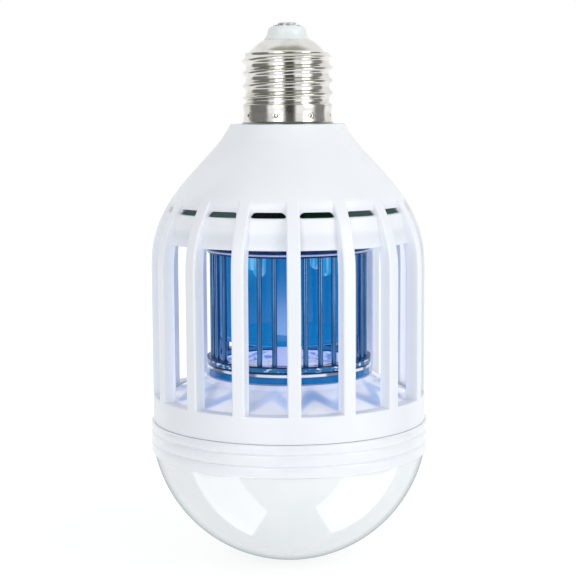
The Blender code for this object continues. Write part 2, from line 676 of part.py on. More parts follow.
def make_chamber_lamp(tube_finish, board_finish, lens_finish, column_finish, lead_finish):
    """Blue lamp in the middle of the grid: board, four lens LEDs, tube and wire column."""
    top = Z_CEILING_BOTTOM - SEAT_GAP
    board_bottom = top - UV_BOARD_THICKNESS
    inner = TUBE_RADIUS - TUBE_WALL
    passage = COLUMN_RADIUS + SEAT_GAP
    turned_object("uv_led_board", [
        (passage, top), (inner - SEAT_GAP, top), (inner - SEAT_GAP, board_bottom), (passage, board_bottom),
    ], board_finish, RING_SEGMENTS)

    for index in range(UV_LED_COUNT):
        angle = 2 * math.pi * (index + 0.5) / UV_LED_COUNT + UV_LED_CLOCKING
        x, y, _ = around(UV_LED_CIRCLE_RADIUS, angle, 0)
        led_top = board_bottom - SEAT_GAP
        tip = led_top - UV_LED_LENGTH + UV_LED_RADIUS
        flange = UV_LED_RADIUS + UV_LED_FLANGE
        shoulder = led_top - UV_LED_FLANGE_HEIGHT
        outline = [(0.0, led_top), (flange, led_top), (flange, shoulder), (UV_LED_RADIUS, shoulder)]
        for step in range(3):
            sweep = math.pi / 2 * step / 3
            outline.append((UV_LED_RADIUS * math.cos(sweep), tip - UV_LED_RADIUS * math.sin(sweep)))
        outline.append((0.0, tip - UV_LED_RADIUS))
        turned_object(f"uv_led_{index + 1}", outline, lens_finish, SMALL_SEGMENTS, (x, y))

    tube_bottom = top - TUBE_LENGTH
    turned_object("uv_lamp_tube", [
        (inner, top), (TUBE_RADIUS, top), (TUBE_RADIUS, tube_bottom), (passage, tube_bottom),
        (passage, tube_bottom + TUBE_WALL), (inner, tube_bottom + TUBE_WALL),
    ], tube_finish, RING_SEGMENTS)

    collar_top = tube_bottom - SEAT_GAP
    collar_bottom = collar_top - COLUMN_COLLAR_HEIGHT
    turned_object("wire_column", [
        (COLUMN_BORE_RADIUS, top), (COLUMN_RADIUS, top), (COLUMN_RADIUS, collar_top),
        (COLUMN_COLLAR_RADIUS, collar_top), (COLUMN_COLLAR_RADIUS, collar_bottom),
        (COLUMN_RADIUS, collar_bottom), (COLUMN_RADIUS, Z_GRID_BOTTOM), (COLUMN_BORE_RADIUS, Z_GRID_BOTTOM),
    ], column_finish, SMALL_SEGMENTS)

    side = -BOARD_THICKNESS / 2 - LEAD_RADIUS - SEAT_GAP
    lead_object("lamp_lead", [
        (BOARD_WIDTH / 4, side, Z_CEILING_TOP + BOARD_HEIGHT / 2),
        (BOARD_WIDTH / 8, side, Z_CEILING_TOP + BOARD_HEIGHT / 4),
        (0, side, Z_CEILING_TOP + 2 * LEAD_RADIUS),
        (0, side, Z_CEILING_BOTTOM),
        (0, 0, Z_CEILING_BOTTOM - TUBE_LENGTH / 4),
        (0, 0, Z_GRID_BOTTOM),
        (0, 0, Z_HEAT_PLATE_TOP + LEAD_RADIUS + SEAT_GAP),
    ], lead_finish)


def make_floor(material):
    """Sloping chamber floor with a skirt that stands on the heat plate."""
    edge = RIB_INNER_RADIUS - SEAT_GAP
    flange = BAND_INNER_RADIUS - SEAT_GAP
    flange_top = Z_FLOOR_SILL - SEAT_GAP
    slope_start = RING_OUTER_RADIUS + SEAT_GAP
    skirt_inner = flange - FLOOR_THICKNESS
    foot = Z_SPIGOT_BOTTOM
    outline = [
        (COLUMN_BORE_RADIUS, Z_FLOOR_CENTRE),
        (slope_start, Z_FLOOR_CENTRE),
        (slope_start + FLOOR_RING_SEAT, Z_FLOOR_CENTRE - FLOOR_RING_SEAT),
        (edge, Z_FLOOR_SILL),
        (edge, flange_top),
        (flange, flange_top),
        (flange, foot),
        (skirt_inner, foot),
        (skirt_inner, flange_top - FLOOR_THICKNESS),
        (slope_start, Z_FLOOR_CENTRE - FLOOR_RING_SEAT - FLOOR_THICKNESS),
        (COLUMN_BORE_RADIUS, Z_FLOOR_CENTRE - FLOOR_RING_SEAT - FLOOR_THICKNESS),
    ]
    turned_object("chamber_floor", outline, material, ROUND_SEGMENTS)


def make_light_source(plate_finish, board_finish):
    """Aluminium heat plate and the white LED board under it."""
    radius = SPIGOT_RADIUS
    turned_object("heat_plate", [
        (0.0, Z_HEAT_PLATE_TOP), (radius, Z_HEAT_PLATE_TOP),
        (radius, Z_HEAT_PLATE_BOTTOM), (0.0, Z_HEAT_PLATE_BOTTOM),
    ], plate_finish, ROUND_SEGMENTS)

    board_top = Z_HEAT_PLATE_BOTTOM - SEAT_GAP
    board_bottom = board_top - LED_BOARD_THICKNESS
    board = turned_object("led_board", [
        (0.0, board_top), (LED_BOARD_RADIUS, board_top),
        (LED_BOARD_RADIUS, board_bottom), (0.0, board_bottom),
    ], board_finish, ROUND_SEGMENTS)
    bm = bmesh.new()
    sunk = LED_BOARD_THICKNESS / 2
    for index in range(LED_COUNT):
        x, y, _ = around(LED_CIRCLE_RADIUS, 2 * math.pi * index / LED_COUNT, 0)
        chip_z = board_bottom + (sunk - LED_HEIGHT) / 2
        add_block(bm, (x, y, chip_z), (LED_SIZE, LED_SIZE, LED_HEIGHT + sunk))
    chips = add_object("led_chips", bm, board_finish)
    chips.hide_render = True
    chips.display_type = "WIRE"
    modifier = board.modifiers.new("soldered_chips", "BOOLEAN")
    modifier.operation = "UNION"
    modifier.solver = "EXACT"
    modifier.object = chips


def make_collar(material):
    """Retaining collar in three bands, over the housing's spigot and the dome's."""
    inner = SPIGOT_RADIUS + SEAT_GAP
    outline = [(inner, Z_COLLAR_TOP)]
    z = Z_COLLAR_TOP
    for height in COLLAR_BAND_HEIGHTS:
        outline += [
            (COLLAR_RADIUS - COLLAR_GROOVE, z),
            (COLLAR_RADIUS, z - COLLAR_GROOVE),
            (COLLAR_RADIUS, z - height + COLLAR_GROOVE),
        ]
        z -= height
    outline += [(COLLAR_RADIUS - COLLAR_GROOVE, z), (inner, z)]
    turned_object("retaining_collar", outline, material, ROUND_SEGMENTS)


def ball_arc(radius, centre_z, start_z, steps):
    """Arc of a ball from a height down to the axis."""
    start = math.asin((centre_z - start_z) / radius)
    points = []
    for index in range(steps):
        angle = start + (math.pi / 2 - start) * index / steps
        points.append((radius * math.cos(angle), centre_z - radius * math.sin(angle)))
    points.append((0.0, centre_z - radius))
    return points


def make_dome(material):
    """Ball-shaped diffuser with a spigot that plugs up into the collar."""
    ball = (DOME_RIM_RADIUS ** 2 + DOME_DEPTH ** 2) / (2 * DOME_DEPTH)
    centre_z = Z_DOME_RIM - DOME_DEPTH + ball
    spigot_top = Z_HEAT_PLATE_BOTTOM - SEAT_GAP
    spigot_inner = SPIGOT_RADIUS - DOME_WALL
    outer = ball_arc(ball, centre_z, Z_DOME_RIM, 8)
    inner_start = centre_z - math.sqrt((ball - DOME_WALL) ** 2 - spigot_inner ** 2)
    inner = ball_arc(ball - DOME_WALL, centre_z, inner_start, 4)
    outline = [(spigot_inner, spigot_top), (SPIGOT_RADIUS, spigot_top), (SPIGOT_RADIUS, Z_DOME_RIM)]
    outline += outer
    outline += reversed(inner)
    turned_object("dome_diffuser", outline, material, ROUND_SEGMENTS)


def main():
    clear_scene()
    nickel = make_material("nickel", (0.72, 0.71, 0.68), 0.2, 1.0)
    porcelain_white = make_material("white_insulator", (0.86, 0.88, 0.88), 0.4)
    white = make_material("white_plastic", (0.88, 0.89, 0.92), 0.35)
    green_board = make_material("board_green", (0.05, 0.25, 0.12), 0.5)
    white_board = make_material("board_white", (0.85, 0.86, 0.86), 0.45)
    can = make_material("capacitor_sleeve", (0.03, 0.03, 0.05), 0.35)
    film = make_material("capacitor_film", (0.45, 0.08, 0.03), 0.35)
    ferrite = make_material("ferrite", (0.10, 0.10, 0.11), 0.6)
    chip = make_material("moulded_chip", (0.02, 0.02, 0.02), 0.5)
    lead = make_material("lead_insulation", (0.75, 0.05, 0.04), 0.45)
    clear_blue = make_material("clear_blue_ring", (0.25, 0.55, 0.80), 0.1, 0.0, 0.5)
    blue_tube = make_material("blue_tube", (0.0, 0.18, 0.50), 0.15, 0.0, 0.7)
    steel = make_material("steel_rod", (0.30, 0.42, 0.50), 0.2, 1.0)
    lens = make_material("uv_lens", (0.55, 0.85, 0.95), 0.1, 0.0, 0.7)
    column = make_material("column_plastic", (0.72, 0.75, 0.90), 0.35)
    aluminium = make_material("aluminium", (0.75, 0.76, 0.78), 0.35, 1.0)
    diffuser = make_material("dome_diffuser", (0.90, 0.92, 0.92), 0.12)

    make_contact(nickel)
    make_insulator(porcelain_white)
    make_shell(nickel)
    make_housing(white)
    make_ceiling(white)
    make_driver(green_board, can, film, ferrite, chip, lead)
    make_grid(clear_blue, steel)
    make_chamber_lamp(blue_tube, white_board, lens, column, lead)
    make_floor(white)
    make_light_source(aluminium, white_board)
    make_collar(white)
    make_dome(diffuser)


main()
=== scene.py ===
import math

import bmesh
import bpy
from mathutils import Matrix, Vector


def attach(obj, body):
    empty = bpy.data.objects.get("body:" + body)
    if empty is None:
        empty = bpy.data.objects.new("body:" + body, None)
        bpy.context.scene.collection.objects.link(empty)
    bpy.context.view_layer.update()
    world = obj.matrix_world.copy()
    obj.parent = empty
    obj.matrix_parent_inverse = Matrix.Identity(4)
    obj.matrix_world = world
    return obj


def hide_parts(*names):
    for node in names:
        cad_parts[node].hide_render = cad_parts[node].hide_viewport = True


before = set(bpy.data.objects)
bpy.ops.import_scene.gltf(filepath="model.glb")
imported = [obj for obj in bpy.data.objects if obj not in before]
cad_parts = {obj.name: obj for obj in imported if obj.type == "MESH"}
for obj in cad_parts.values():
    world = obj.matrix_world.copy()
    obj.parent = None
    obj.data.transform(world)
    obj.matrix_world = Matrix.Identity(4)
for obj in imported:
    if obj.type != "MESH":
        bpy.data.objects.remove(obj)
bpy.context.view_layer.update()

mm = 0.001
nodeNames = sorted(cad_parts)
print("frame:", len(nodeNames), "nodes")


class Wire:
    # an output of a node, which can be used in a sum
    def __init__(self, graph, socket):
        self.graph = graph
        self.socket = socket

    def __add__(self, other):
        return self.graph.sum("ADD", self, other)

    def __sub__(self, other):
        return self.graph.sum("SUBTRACT", self, other)

    def __rsub__(self, other):
        return self.graph.sum("SUBTRACT", other, self)

    def __mul__(self, other):
        return self.graph.sum("MULTIPLY", self, other)

    def __truediv__(self, other):
        return self.graph.sum("DIVIDE", self, other)

    def __rtruediv__(self, other):
        return self.graph.sum("DIVIDE", other, self)

    def __pow__(self, other):
        return self.graph.sum("POWER", self, other)

    def __neg__(self):
        return self * -1.0

    __radd__ = __add__
    __rmul__ = __mul__


class Graph:
    # a node tree of a material, the world or a recipe
    def __init__(self, tree):
        self.tree = tree
        tree.nodes.clear()

    def node(self, kind, settings=None, sockets=(), out=0):
        made = self.tree.nodes.new(kind)
        for name, value in (settings or {}).items():
            setattr(made, name, value)
        pairs = sockets.items() if isinstance(sockets, dict) else enumerate(sockets)
        for name, value in pairs:
            if isinstance(value, Wire):
                self.tree.links.new(value.socket, made.inputs[name])
            else:
                made.inputs[name].default_value = value
        return Wire(self, made.outputs[out]) if made.outputs else made

    def sum(self, operation, *values):
        return self.node("ShaderNodeMath", {"operation": operation}, values)

    def fit(self, value, low, high, newLow=0.0, newHigh=1.0):
        # value from low..high to newLow..newHigh, eased, and held at both ends
        return self.node("ShaderNodeMapRange", {"interpolation_type": "SMOOTHSTEP"},
                         (value, low, high, newLow, newHigh))

    def band(self, value, inFrom, inTo, outFrom, outTo, unit=mm):
        # 1 between two soft edges
        return self.fit(value, inFrom * unit, inTo * unit) * self.fit(value, outTo * unit, outFrom * unit)

    def mix(self, share, first, second):
        # colours only
        return self.node("ShaderNodeMix", {"data_type": "RGBA"}, {0: share, 6: first, 7: second}, out=2)

    def split(self, vector):
        parts = self.tree.nodes.new("ShaderNodeSeparateXYZ")
        self.tree.links.new(vector.socket, parts.inputs[0])
        return [Wire(self, parts.outputs[axis]) for axis in range(3)]

    def rays(self, *kinds):
        path = self.tree.nodes.new("ShaderNodeLightPath")
        return [Wire(self, path.outputs[f"Is {kind} Ray"]) for kind in kinds]

    def point(self):
        return self.node("ShaderNodeTexCoord", out=3)

    def place(self):
        # object space position, its x, y, z and distance from the axis
        point = self.point()
        x, y, z = self.split(point)
        return point, x, y, z, (x * x + y * y) ** 0.5

    def azimuth(self, x, y):
        # angle about the axis, from the front
        return self.sum("ARCTAN2", x, -y)

    def noise(self, point, scale, detail=3.0):
        return self.node("ShaderNodeTexNoise", {}, {"Vector": point, "Scale": scale, "Detail": detail})

    def stretch(self, point, upright):
        return self.node("ShaderNodeMapping", {}, {"Vector": point, "Scale": (1.0, 1.0, upright)})

    def lines(self, point, scale, wander, detail):
        # fine level lines, as a lathe or a mould leaves them
        return self.node("ShaderNodeTexWave", {"wave_type": "BANDS", "bands_direction": "Z"},
                         {"Vector": point, "Scale": scale, "Distortion": wander, "Detail": detail})

    def bump(self, height, strength, depth):
        return self.node("ShaderNodeBump", {},
                         {"Strength": strength, "Distance": depth * mm, "Height": height})

    def surface(self, sockets):
        return self.node("ShaderNodeBsdfPrincipled", {}, sockets)


def screen(red, green, blue, alpha=1.0):
    # a colour as the eye reads it, 0 to 255
    parts = [value / 255 for value in (red, green, blue)]
    return (*[v / 12.92 if v <= 0.04045 else ((v + 0.055) / 1.055) ** 2.4 for v in parts], alpha)


black, white = (0.0, 0.0, 0.0, 1.0), (1.0, 1.0, 1.0, 1.0)


def finish(name, build):
    # a material whose shader comes from a function on its graph
    material = bpy.data.materials.new(name)
    material.use_nodes = True
    graph = Graph(material.node_tree)
    graph.node("ShaderNodeOutputMaterial", {}, {"Surface": build(graph)})
    return material


def toScene(name, data):
    item = bpy.data.objects.new(name, data)
    bpy.context.scene.collection.objects.link(item)
    return item


def addPiece(name, mesh, material):
    mesh.materials.clear()
    mesh.materials.append(material)
    return toScene(name, mesh)


def settle(piece, slot, *nodes):
    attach(piece, "root")
    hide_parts(*nodes)


def smoothMesh(bm, name, sharpDegrees=40):
    bmesh.ops.remove_doubles(bm, verts=bm.verts, dist=0.002 * mm)
    bmesh.ops.dissolve_degenerate(bm, edges=bm.edges, dist=0.001 * mm)
    bmesh.ops.recalc_face_normals(bm, faces=bm.faces)
    mesh = bpy.data.meshes.new(name)
    bm.to_mesh(mesh)
    bm.free()
    mesh.shade_smooth()
    mesh.set_sharp_from_angle(angle=math.radians(sharpDegrees))
    return mesh


def around(radius, angle, z):
    # angles count from the front, -Y, towards +X
    return (radius * math.sin(angle), -radius * math.cos(angle), z)


def roundOff(corners, steps=5):
    # closed outline in mm, where a third number is the radius of that corner
    points = []
    count = len(corners)
    for index, corner in enumerate(corners):
        here = Vector(corner[:2])
        radius = corner[2] if len(corner) > 2 else 0.0
        if not radius:
            points.append(tuple(here))
            continue
        before = Vector(corners[index - 1][:2]) - here
        after = Vector(corners[(index + 1) % count][:2]) - here
        opening = before.angle(after)
        cut = min(radius / math.tan(opening / 2), before.length * 0.5, after.length * 0.5)
        radius = cut * math.tan(opening / 2)
        before.normalize()
        after.normalize()
        centre = here + (before + after).normalized() * (radius / math.sin(opening / 2))
        start = here + before * cut - centre
        end = here + after * cut - centre
        turned = start.angle_signed(end)
        for step in range(steps + 1):
            angle = -turned * step / steps
            points.append((centre.x + start.x * math.cos(angle) - start.y * math.sin(angle),
                           centre.y + start.x * math.sin(angle) + start.y * math.cos(angle)))
    return points


def addRings(bm, rings, segments):
    # closed run of rings in mm about the axis: radius, or a rule for it by angle, and height
    made = []
    for radius, z in rings:
        ring = []
        for step in range(segments):
            angle = 2 * math.pi * step / segments
            reach = radius(angle) if callable(radius) else max(radius, 0.0)
            ring.append(bm.verts.new([value * mm for value in around(reach, angle, z)]))
        made.append(ring)
    for ring, following in zip(made, made[1:] + made[:1]):
        for step in range(segments):
            corner = (step + 1) % segments
            bm.faces.new((ring[step], ring[corner], following[corner], following[step]))


def turnedMesh(name, outline, segments=128, sharpDegrees=40):
    bm = bmesh.new()
    addRings(bm, outline, segments)
    return smoothMesh(bm, name, sharpDegrees)


def turn(name, outline, material, segments=128, sharpDegrees=40):
    return addPiece(name, turnedMesh(name, outline, segments, sharpDegrees), material)


class Recipe(Graph):
    # a geometry node tree with named inputs
    def __init__(self, name, inputs):
        tree = bpy.data.node_groups.new(name, "GeometryNodeTree")
        super().__init__(tree)
        tree.interface.new_socket("Start", in_out="INPUT", socket_type="NodeSocketGeometry")
        tree.interface.new_socket("Result", in_out="OUTPUT", socket_type="NodeSocketGeometry")
        for label, value in inputs.items():
            kind = "NodeSocketInt" if isinstance(value, int) else "NodeSocketFloat"
            tree.interface.new_socket(label, in_out="INPUT", socket_type=kind)
        self.given = tree.nodes.new("NodeGroupInput")
        self.values = inputs

    def get(self, label):
        return Wire(self, self.given.outputs[label])

    def make(self, name, shape, start, material):
        # ends the tree, runs it on the start mesh and keeps the result as a plain mesh
        real = self.node("GeometryNodeRealizeInstances", {}, {"Geometry": shape})
        painted = self.node("GeometryNodeSetMaterial", {}, {"Geometry": real, "Material": material})
        self.node("NodeGroupOutput", {}, {0: painted})
        holder = toScene(name + "Holder", start)
        modifier = holder.modifiers.new("recipe", "NODES")
        modifier.node_group = self.tree
        for item in self.tree.interface.items_tree:
            if item.item_type == "SOCKET" and item.in_out == "INPUT" and item.name in self.values:
                modifier[item.identifier] = self.values[item.name]
        bpy.context.view_layer.update()
        ready = holder.evaluated_get(bpy.context.evaluated_depsgraph_get())
        mesh = bpy.data.meshes.new_from_object(ready)
        bpy.data.objects.remove(holder, do_unlink=True)
        mesh.name = name
        return addPiece(name, mesh, material)


def ringRecipe(name, count, radius, clocking, start, material):
    # copies of the start mesh on a circle, each turned to face outwards
    recipe = Recipe(name + "Recipe", {"Count": count, "Radius": radius * mm, "Clocking": clocking})
    number = recipe.node("GeometryNodeInputIndex")
    angle = number * (2 * math.pi / count) + recipe.get("Clocking")
    x = recipe.get("Radius") * recipe.sum("SINE", angle)
    y = -(recipe.get("Radius") * recipe.sum("COSINE", angle))
    spot = recipe.node("ShaderNodeCombineXYZ", {}, (x, y, 0.0))
    points = recipe.node("GeometryNodePoints", {}, {"Count": recipe.get("Count"), "Position": spot})
    facing = recipe.node("ShaderNodeCombineXYZ", {}, (0.0, 0.0, angle))
    copies = recipe.node("GeometryNodeInstanceOnPoints", {},
                         {"Points": points, "Instance": recipe.get("Start"), "Rotation": facing})
    real = recipe.node("GeometryNodeRealizeInstances", {}, {"Geometry": copies})
    merged = recipe.node("GeometryNodeMergeByDistance", {}, {"Geometry": real, "Distance": 0.002 * mm})
    return recipe.make(name, merged, start, material)


# lamp in the middle: tube, four lens LEDs, wire column
lamp = {
    "tubeRadius": 20.2,
    "tubeTop": -63.1,
    "tubeBottom": -91.6,
    "tubeWall": 1.0,
    "tubeFill": (screen(0, 110, 182), screen(0, 116, 190)),  # top and bottom
    "tubeNearLed": screen(20, 152, 214),
    "tubeGlow": 0.85,
    "ledCircle": 13.5,
    "ledClocking": math.radians(45 + 5.0),
    "ledRadius": 1.8,
    "ledFlange": 0.4,
    "ledTop": -64.6,
    "ledTip": -72.7,
    "ledGlow": 5.0,
    "column": 3.8,
    "columnBore": 2.8,
    "columnCollar": (6.0, -91.9, -93.3),  # radius, top and bottom
    "columnGlow": 2.2,
}

# white shell plastic, cool and a little bluish where the lamp's light reaches it
plastic = {
    "white": screen(240, 243, 248),
    "cloud": screen(235, 239, 245),
    "lampTint": screen(231, 235, 250),
    "paintedPanelShade": screen(228, 232, 239),
    "tintFrom": 38.6,
    "tintTo": 36.4,
    "skinGlow": (0.10, 0.19, 0.17, 1.0),
    "glow": 0.16,
}


def shellPlastic(g):
    point, x, y, z, away = g.place()
    cloud = g.noise(point, 90.0)
    speck = g.noise(point, 2600.0, 2.0)
    lit = g.fit(away, plastic["tintFrom"] * mm, plastic["tintTo"] * mm) * g.band(z, -60, -66, -105.5, -107.8)
    base = g.mix(g.fit(cloud, 0.35, 0.65, 0.0, 0.35), plastic["white"], plastic["cloud"])
    # painted shade: the panels behind the ribs lie on a cone and are painted darker, for the shade between
    # the ribs
    cone = away + (z + 54 * mm) * 0.29
    recessShade = g.fit(cone, 34.75 * mm, 34.45 * mm) * g.fit(z, -50 * mm, -54 * mm)
    recessShade = recessShade * g.fit(z, -64 * mm, -62 * mm)
    colour = g.mix(lit, g.mix(recessShade, base, plastic["paintedPanelShade"]), plastic["lampTint"])
    # daylight that comes through the wall of the bell
    skin = g.fit(cone, 33.8 * mm, 33.4 * mm) * g.fit(z, -51.5 * mm, -52.5 * mm)
    skin = skin * g.fit(z, -62.7 * mm, -61.7 * mm)
    glow = g.mix(skin, g.mix(lit, black, plastic["lampTint"]), plastic["skinGlow"])
    return g.surface({
        "Base Color": colour, "Roughness": g.fit(cloud, 0.3, 0.7, 0.30, 0.40),
        "Normal": g.bump(speck, 0.05, 0.05), "IOR": 1.46, "Coat Weight": 0.25, "Coat Roughness": 0.12,
        "Emission Color": glow, "Emission Strength": plastic["glow"]})


def collarPlastic(g):
    point = g.point()
    cloud = g.noise(point, 90.0)
    colour = g.mix(g.fit(cloud, 0.35, 0.65, 0.0, 0.4), screen(240, 243, 248), screen(234, 238, 244))
    return g.surface({
        "Base Color": colour, "Roughness": g.fit(cloud, 0.3, 0.7, 0.28, 0.38),
        "Normal": g.bump(g.lines(point, 520.0, 0.4, 1.0), 0.12, 0.04),
        "Coat Weight": 0.8, "Coat Roughness": 0.06})


def nickelPlate(g):
    point, x, y, z, away = g.place()
    cloud = g.noise(point, 160.0, 4.0)
    colour = g.mix(g.fit(cloud, 0.4, 0.7, 0.0, 0.7), screen(226, 225, 222), screen(200, 198, 184))
    # painted shade: a dark line on the foot where it meets the housing, for the shade in the crevice
    colour = g.mix(g.fit(z, -28.3 * mm, -28.65 * mm), colour, screen(128, 136, 144))
    return g.surface({
        "Base Color": colour, "Metallic": 1.0, "Roughness": g.fit(cloud, 0.3, 0.7, 0.10, 0.20),
        "Normal": g.bump(g.lines(point, 900.0, 1.5, 2.0), 0.06, 0.03)})


def capGlass(g):
    # the white plug of the cap
    cloud = g.noise(g.point(), 300.0)
    colour = g.mix(g.fit(cloud, 0.35, 0.65), screen(236, 241, 240), screen(228, 234, 233))
    return g.surface({
        "Base Color": colour, "Roughness": g.fit(cloud, 0.3, 0.7, 0.30, 0.42),
        "Normal": g.bump(cloud, 0.08, 0.04)})


def domeOpal(g):
    # milky diffuser with a clear, slightly green skin that shows at the edge
    cloud = g.noise(g.point(), 60.0, 2.0)
    edge = g.node("ShaderNodeLayerWeight", {}, {"Blend": 0.5}, out=1)
    milk = g.mix(g.fit(cloud, 0.35, 0.65), screen(240, 243, 245), screen(236, 240, 242))
    body = g.surface({
        "Base Color": milk, "Roughness": g.fit(cloud, 0.3, 0.7, 0.10, 0.14),
        "Coat Weight": 0.6, "Coat Roughness": 0.04, "IOR": 1.5})
    skin = g.node("ShaderNodeBsdfAnisotropic", {}, {"Color": screen(176, 190, 190), "Roughness": 0.25})
    return g.node("ShaderNodeMixShader", {}, (g.fit(edge, 0.68, 0.97, 0.0, 0.95), body, skin))


# zones of the clear rings, each from its first edge to its last, in mm
clearZones = {
    "upper": (-65.0, -65.15, -65.5, -65.65),
    "flange": (-97.0, -97.2, -98.2, -98.35),
    "bead": (-98.8, -98.95, -99.6, -99.75),
}


def clearBlue(g):
    # tinted clear moulding of the grid rings: dark in the body, with painted pale highlights where an edge
    # would gather light, and a faint painted glow
    point, x, y, z, away = g.place()
    cloud = g.noise(point, 900.0, 2.0)
    upper, flange, bead = (g.band(z, *clearZones[name]) for name in ("upper", "flange", "bead"))
    colour = g.mix(g.fit(cloud, 0.35, 0.65), screen(0, 26, 78), screen(0, 44, 100))
    colour = g.mix(g.fit(z, -99.7 * mm, -99.85 * mm), colour, screen(0, 108, 174))
    runs = g.noise(g.stretch(point, 2.6), 420.0, 2.0)
    # painted highlights: pale streaks along the flange
    paintedGlints = g.fit(runs, 0.52, 0.64) * g.fit(away, 21.5 * mm, 22.5 * mm)
    colour = g.mix(flange, colour, g.mix(paintedGlints, screen(36, 108, 158), screen(206, 222, 244)))
    # painted highlight: the bead is painted pale in lengths between the rods
    lengths = g.fit(g.noise(point, 130.0, 1.0), 0.40, 0.52, 0.25, 1.0)
    colour = g.mix(bead * lengths, colour, screen(226, 234, 248))
    # painted highlight: a pale line along the upper edge of the ring
    colour = g.mix(upper, colour, screen(178, 200, 238))
    # painted see-through: the inner wall is painted with the pale floor that would show through it
    bore = g.fit(away, 20.9 * mm, 20.6 * mm) * g.fit(z, -98.6 * mm, -98.8 * mm)
    behind = g.mix(g.fit(runs, 0.44, 0.62), screen(200, 210, 238), screen(112, 154, 212))
    colour = g.mix(bore, colour, behind)
    # a faint painted glow of the ring's colours, as if lit by the lamp
    return g.surface({
        "Base Color": colour, "Roughness": g.fit(cloud, 0.3, 0.7, 0.08, 0.16), "Alpha": 0.95,
        "Specular IOR Level": 0.2, "Emission Color": colour, "Emission Strength": 0.18})


def blueTube(g):
    # glowing clear blue envelope round the lamp, brighter in front of each LED and pale underneath
    point, x, y, z, away = g.place()
    cloud = g.noise(point, 120.0, 2.0)
    angle = g.azimuth(x, y) - lamp["ledClocking"]
    near = g.fit(g.sum("COSINE", angle * 4), 0.55, 1.0) * g.fit(z, -76 * mm, -66 * mm)
    top, bottom = lamp["tubeFill"]
    colour = g.mix(g.fit(z, -92 * mm, -64 * mm), bottom, top)
    colour = g.mix(near, colour, lamp["tubeNearLed"])
    glow = g.mix(g.fit(z, -91.52 * mm, -91.58 * mm), colour, (1.3, 1.4, 1.7, 1.0))
    cover = g.fit(z, -72 * mm, -88 * mm, 0.76, 0.62) + g.fit(z, -89.6 * mm, -90.5 * mm, 0.0, 0.38)
    return g.surface({
        "Base Color": screen(0, 40, 78), "Roughness": g.fit(cloud, 0.3, 0.7, 0.3, 0.4),
        "Alpha": cover, "Specular IOR Level": 0.25,
        "Emission Color": glow, "Emission Strength": lamp["tubeGlow"]})


def blueLitRodSteel(g):
    # painted light: the steel is coloured blue, as lit by the lamp's blue glow
    streak = g.noise(g.stretch(g.point(), 0.04), 1500.0)
    colour = g.mix(g.fit(streak, 0.35, 0.65), screen(38, 98, 152), screen(66, 126, 178))
    return g.surface({
        "Base Color": colour, "Metallic": 0.6, "Roughness": g.fit(streak, 0.3, 0.7, 0.10, 0.20),
        "Coat Weight": 0.8, "Coat Roughness": 0.05})


def lensCyan(g):
    streak = g.noise(g.stretch(g.point(), 0.05), 900.0, 2.0)
    colour = g.mix(g.fit(streak, 0.44, 0.60), screen(40, 196, 240), screen(214, 240, 255))
    return g.surface({
        "Base Color": colour, "Roughness": g.fit(streak, 0.3, 0.7, 0.05, 0.12),
        "Coat Weight": 1.0, "Emission Color": colour, "Emission Strength": lamp["ledGlow"]})


def columnPlastic(g):
    point, x, y, z, away = g.place()
    cloud = g.noise(point, 220.0, 2.0)
    # painted light: blue at the top where the LEDs shine on it, pale below, and a painted glow lower down,
    # though the column is no lamp
    colour = g.mix(g.fit(z, -66 * mm, -84 * mm), screen(40, 110, 190), screen(214, 220, 244))
    glow = g.mix(g.band(z, -70, -86, -91.0, -92.5), black, screen(200, 210, 240))
    return g.surface({
        "Base Color": colour, "Roughness": g.fit(cloud, 0.3, 0.7, 0.28, 0.4),
        "Normal": g.bump(cloud, 0.05, 0.05),
        "Emission Color": glow, "Emission Strength": lamp["columnGlow"]})


def floorPlastic(g):
    # white, with the lamp's blue cast strongest under the grid
    point, x, y, z, away = g.place()
    cloud = g.noise(point, 70.0)
    colour = g.mix(g.fit(away, 35 * mm, 24 * mm), screen(242, 244, 251), screen(220, 226, 248))
    # painted shade: soft blue arches, reaching furthest out at the ribs
    reach = away - g.sum("COSINE", g.azimuth(x, y) * 16) * 2.4 * mm
    archShade = g.band(reach, 26.0, 29.5, 31.0, 33.5)
    colour = g.mix(archShade * g.fit(cloud, 0.3, 0.6, 0.35, 0.8), colour, screen(132, 170, 224))
    # a faint painted glow of the floor's own colour, as if lit by the lamp
    return g.surface({
        "Base Color": colour, "Roughness": g.fit(cloud, 0.3, 0.7, 0.25, 0.38),
        "Normal": g.bump(cloud, 0.05, 0.05), "Coat Weight": 0.9, "Coat Roughness": 0.1,
        "Emission Color": colour, "Emission Strength": 0.14})


def speckled(light, dark, scale, roughness, metallic=0.0):
    # plain technical finish with a fine mottle, for the pieces inside
    def build(g):
        cloud = g.noise(g.point(), scale, 4.0)
        return g.surface({
            "Base Color": g.mix(g.fit(cloud, 0.35, 0.65), screen(*light), screen(*dark)),
            "Roughness": g.fit(cloud, 0.3, 0.7, roughness - 0.06, roughness + 0.06),
            "Metallic": metallic, "Normal": g.bump(cloud, 0.1, 0.05)})
    return build


shaders = {
    "nickel": nickelPlate,
    "white_insulator": capGlass,
    "white_plastic": shellPlastic,
    "collar": collarPlastic,
    "floor": floorPlastic,
    "clear_blue_ring": clearBlue,
    "blue_tube": blueTube,
    "steel_rod": blueLitRodSteel,
    "uv_lens": lensCyan,
    "column_plastic": columnPlastic,
    "dome_diffuser": domeOpal,
}
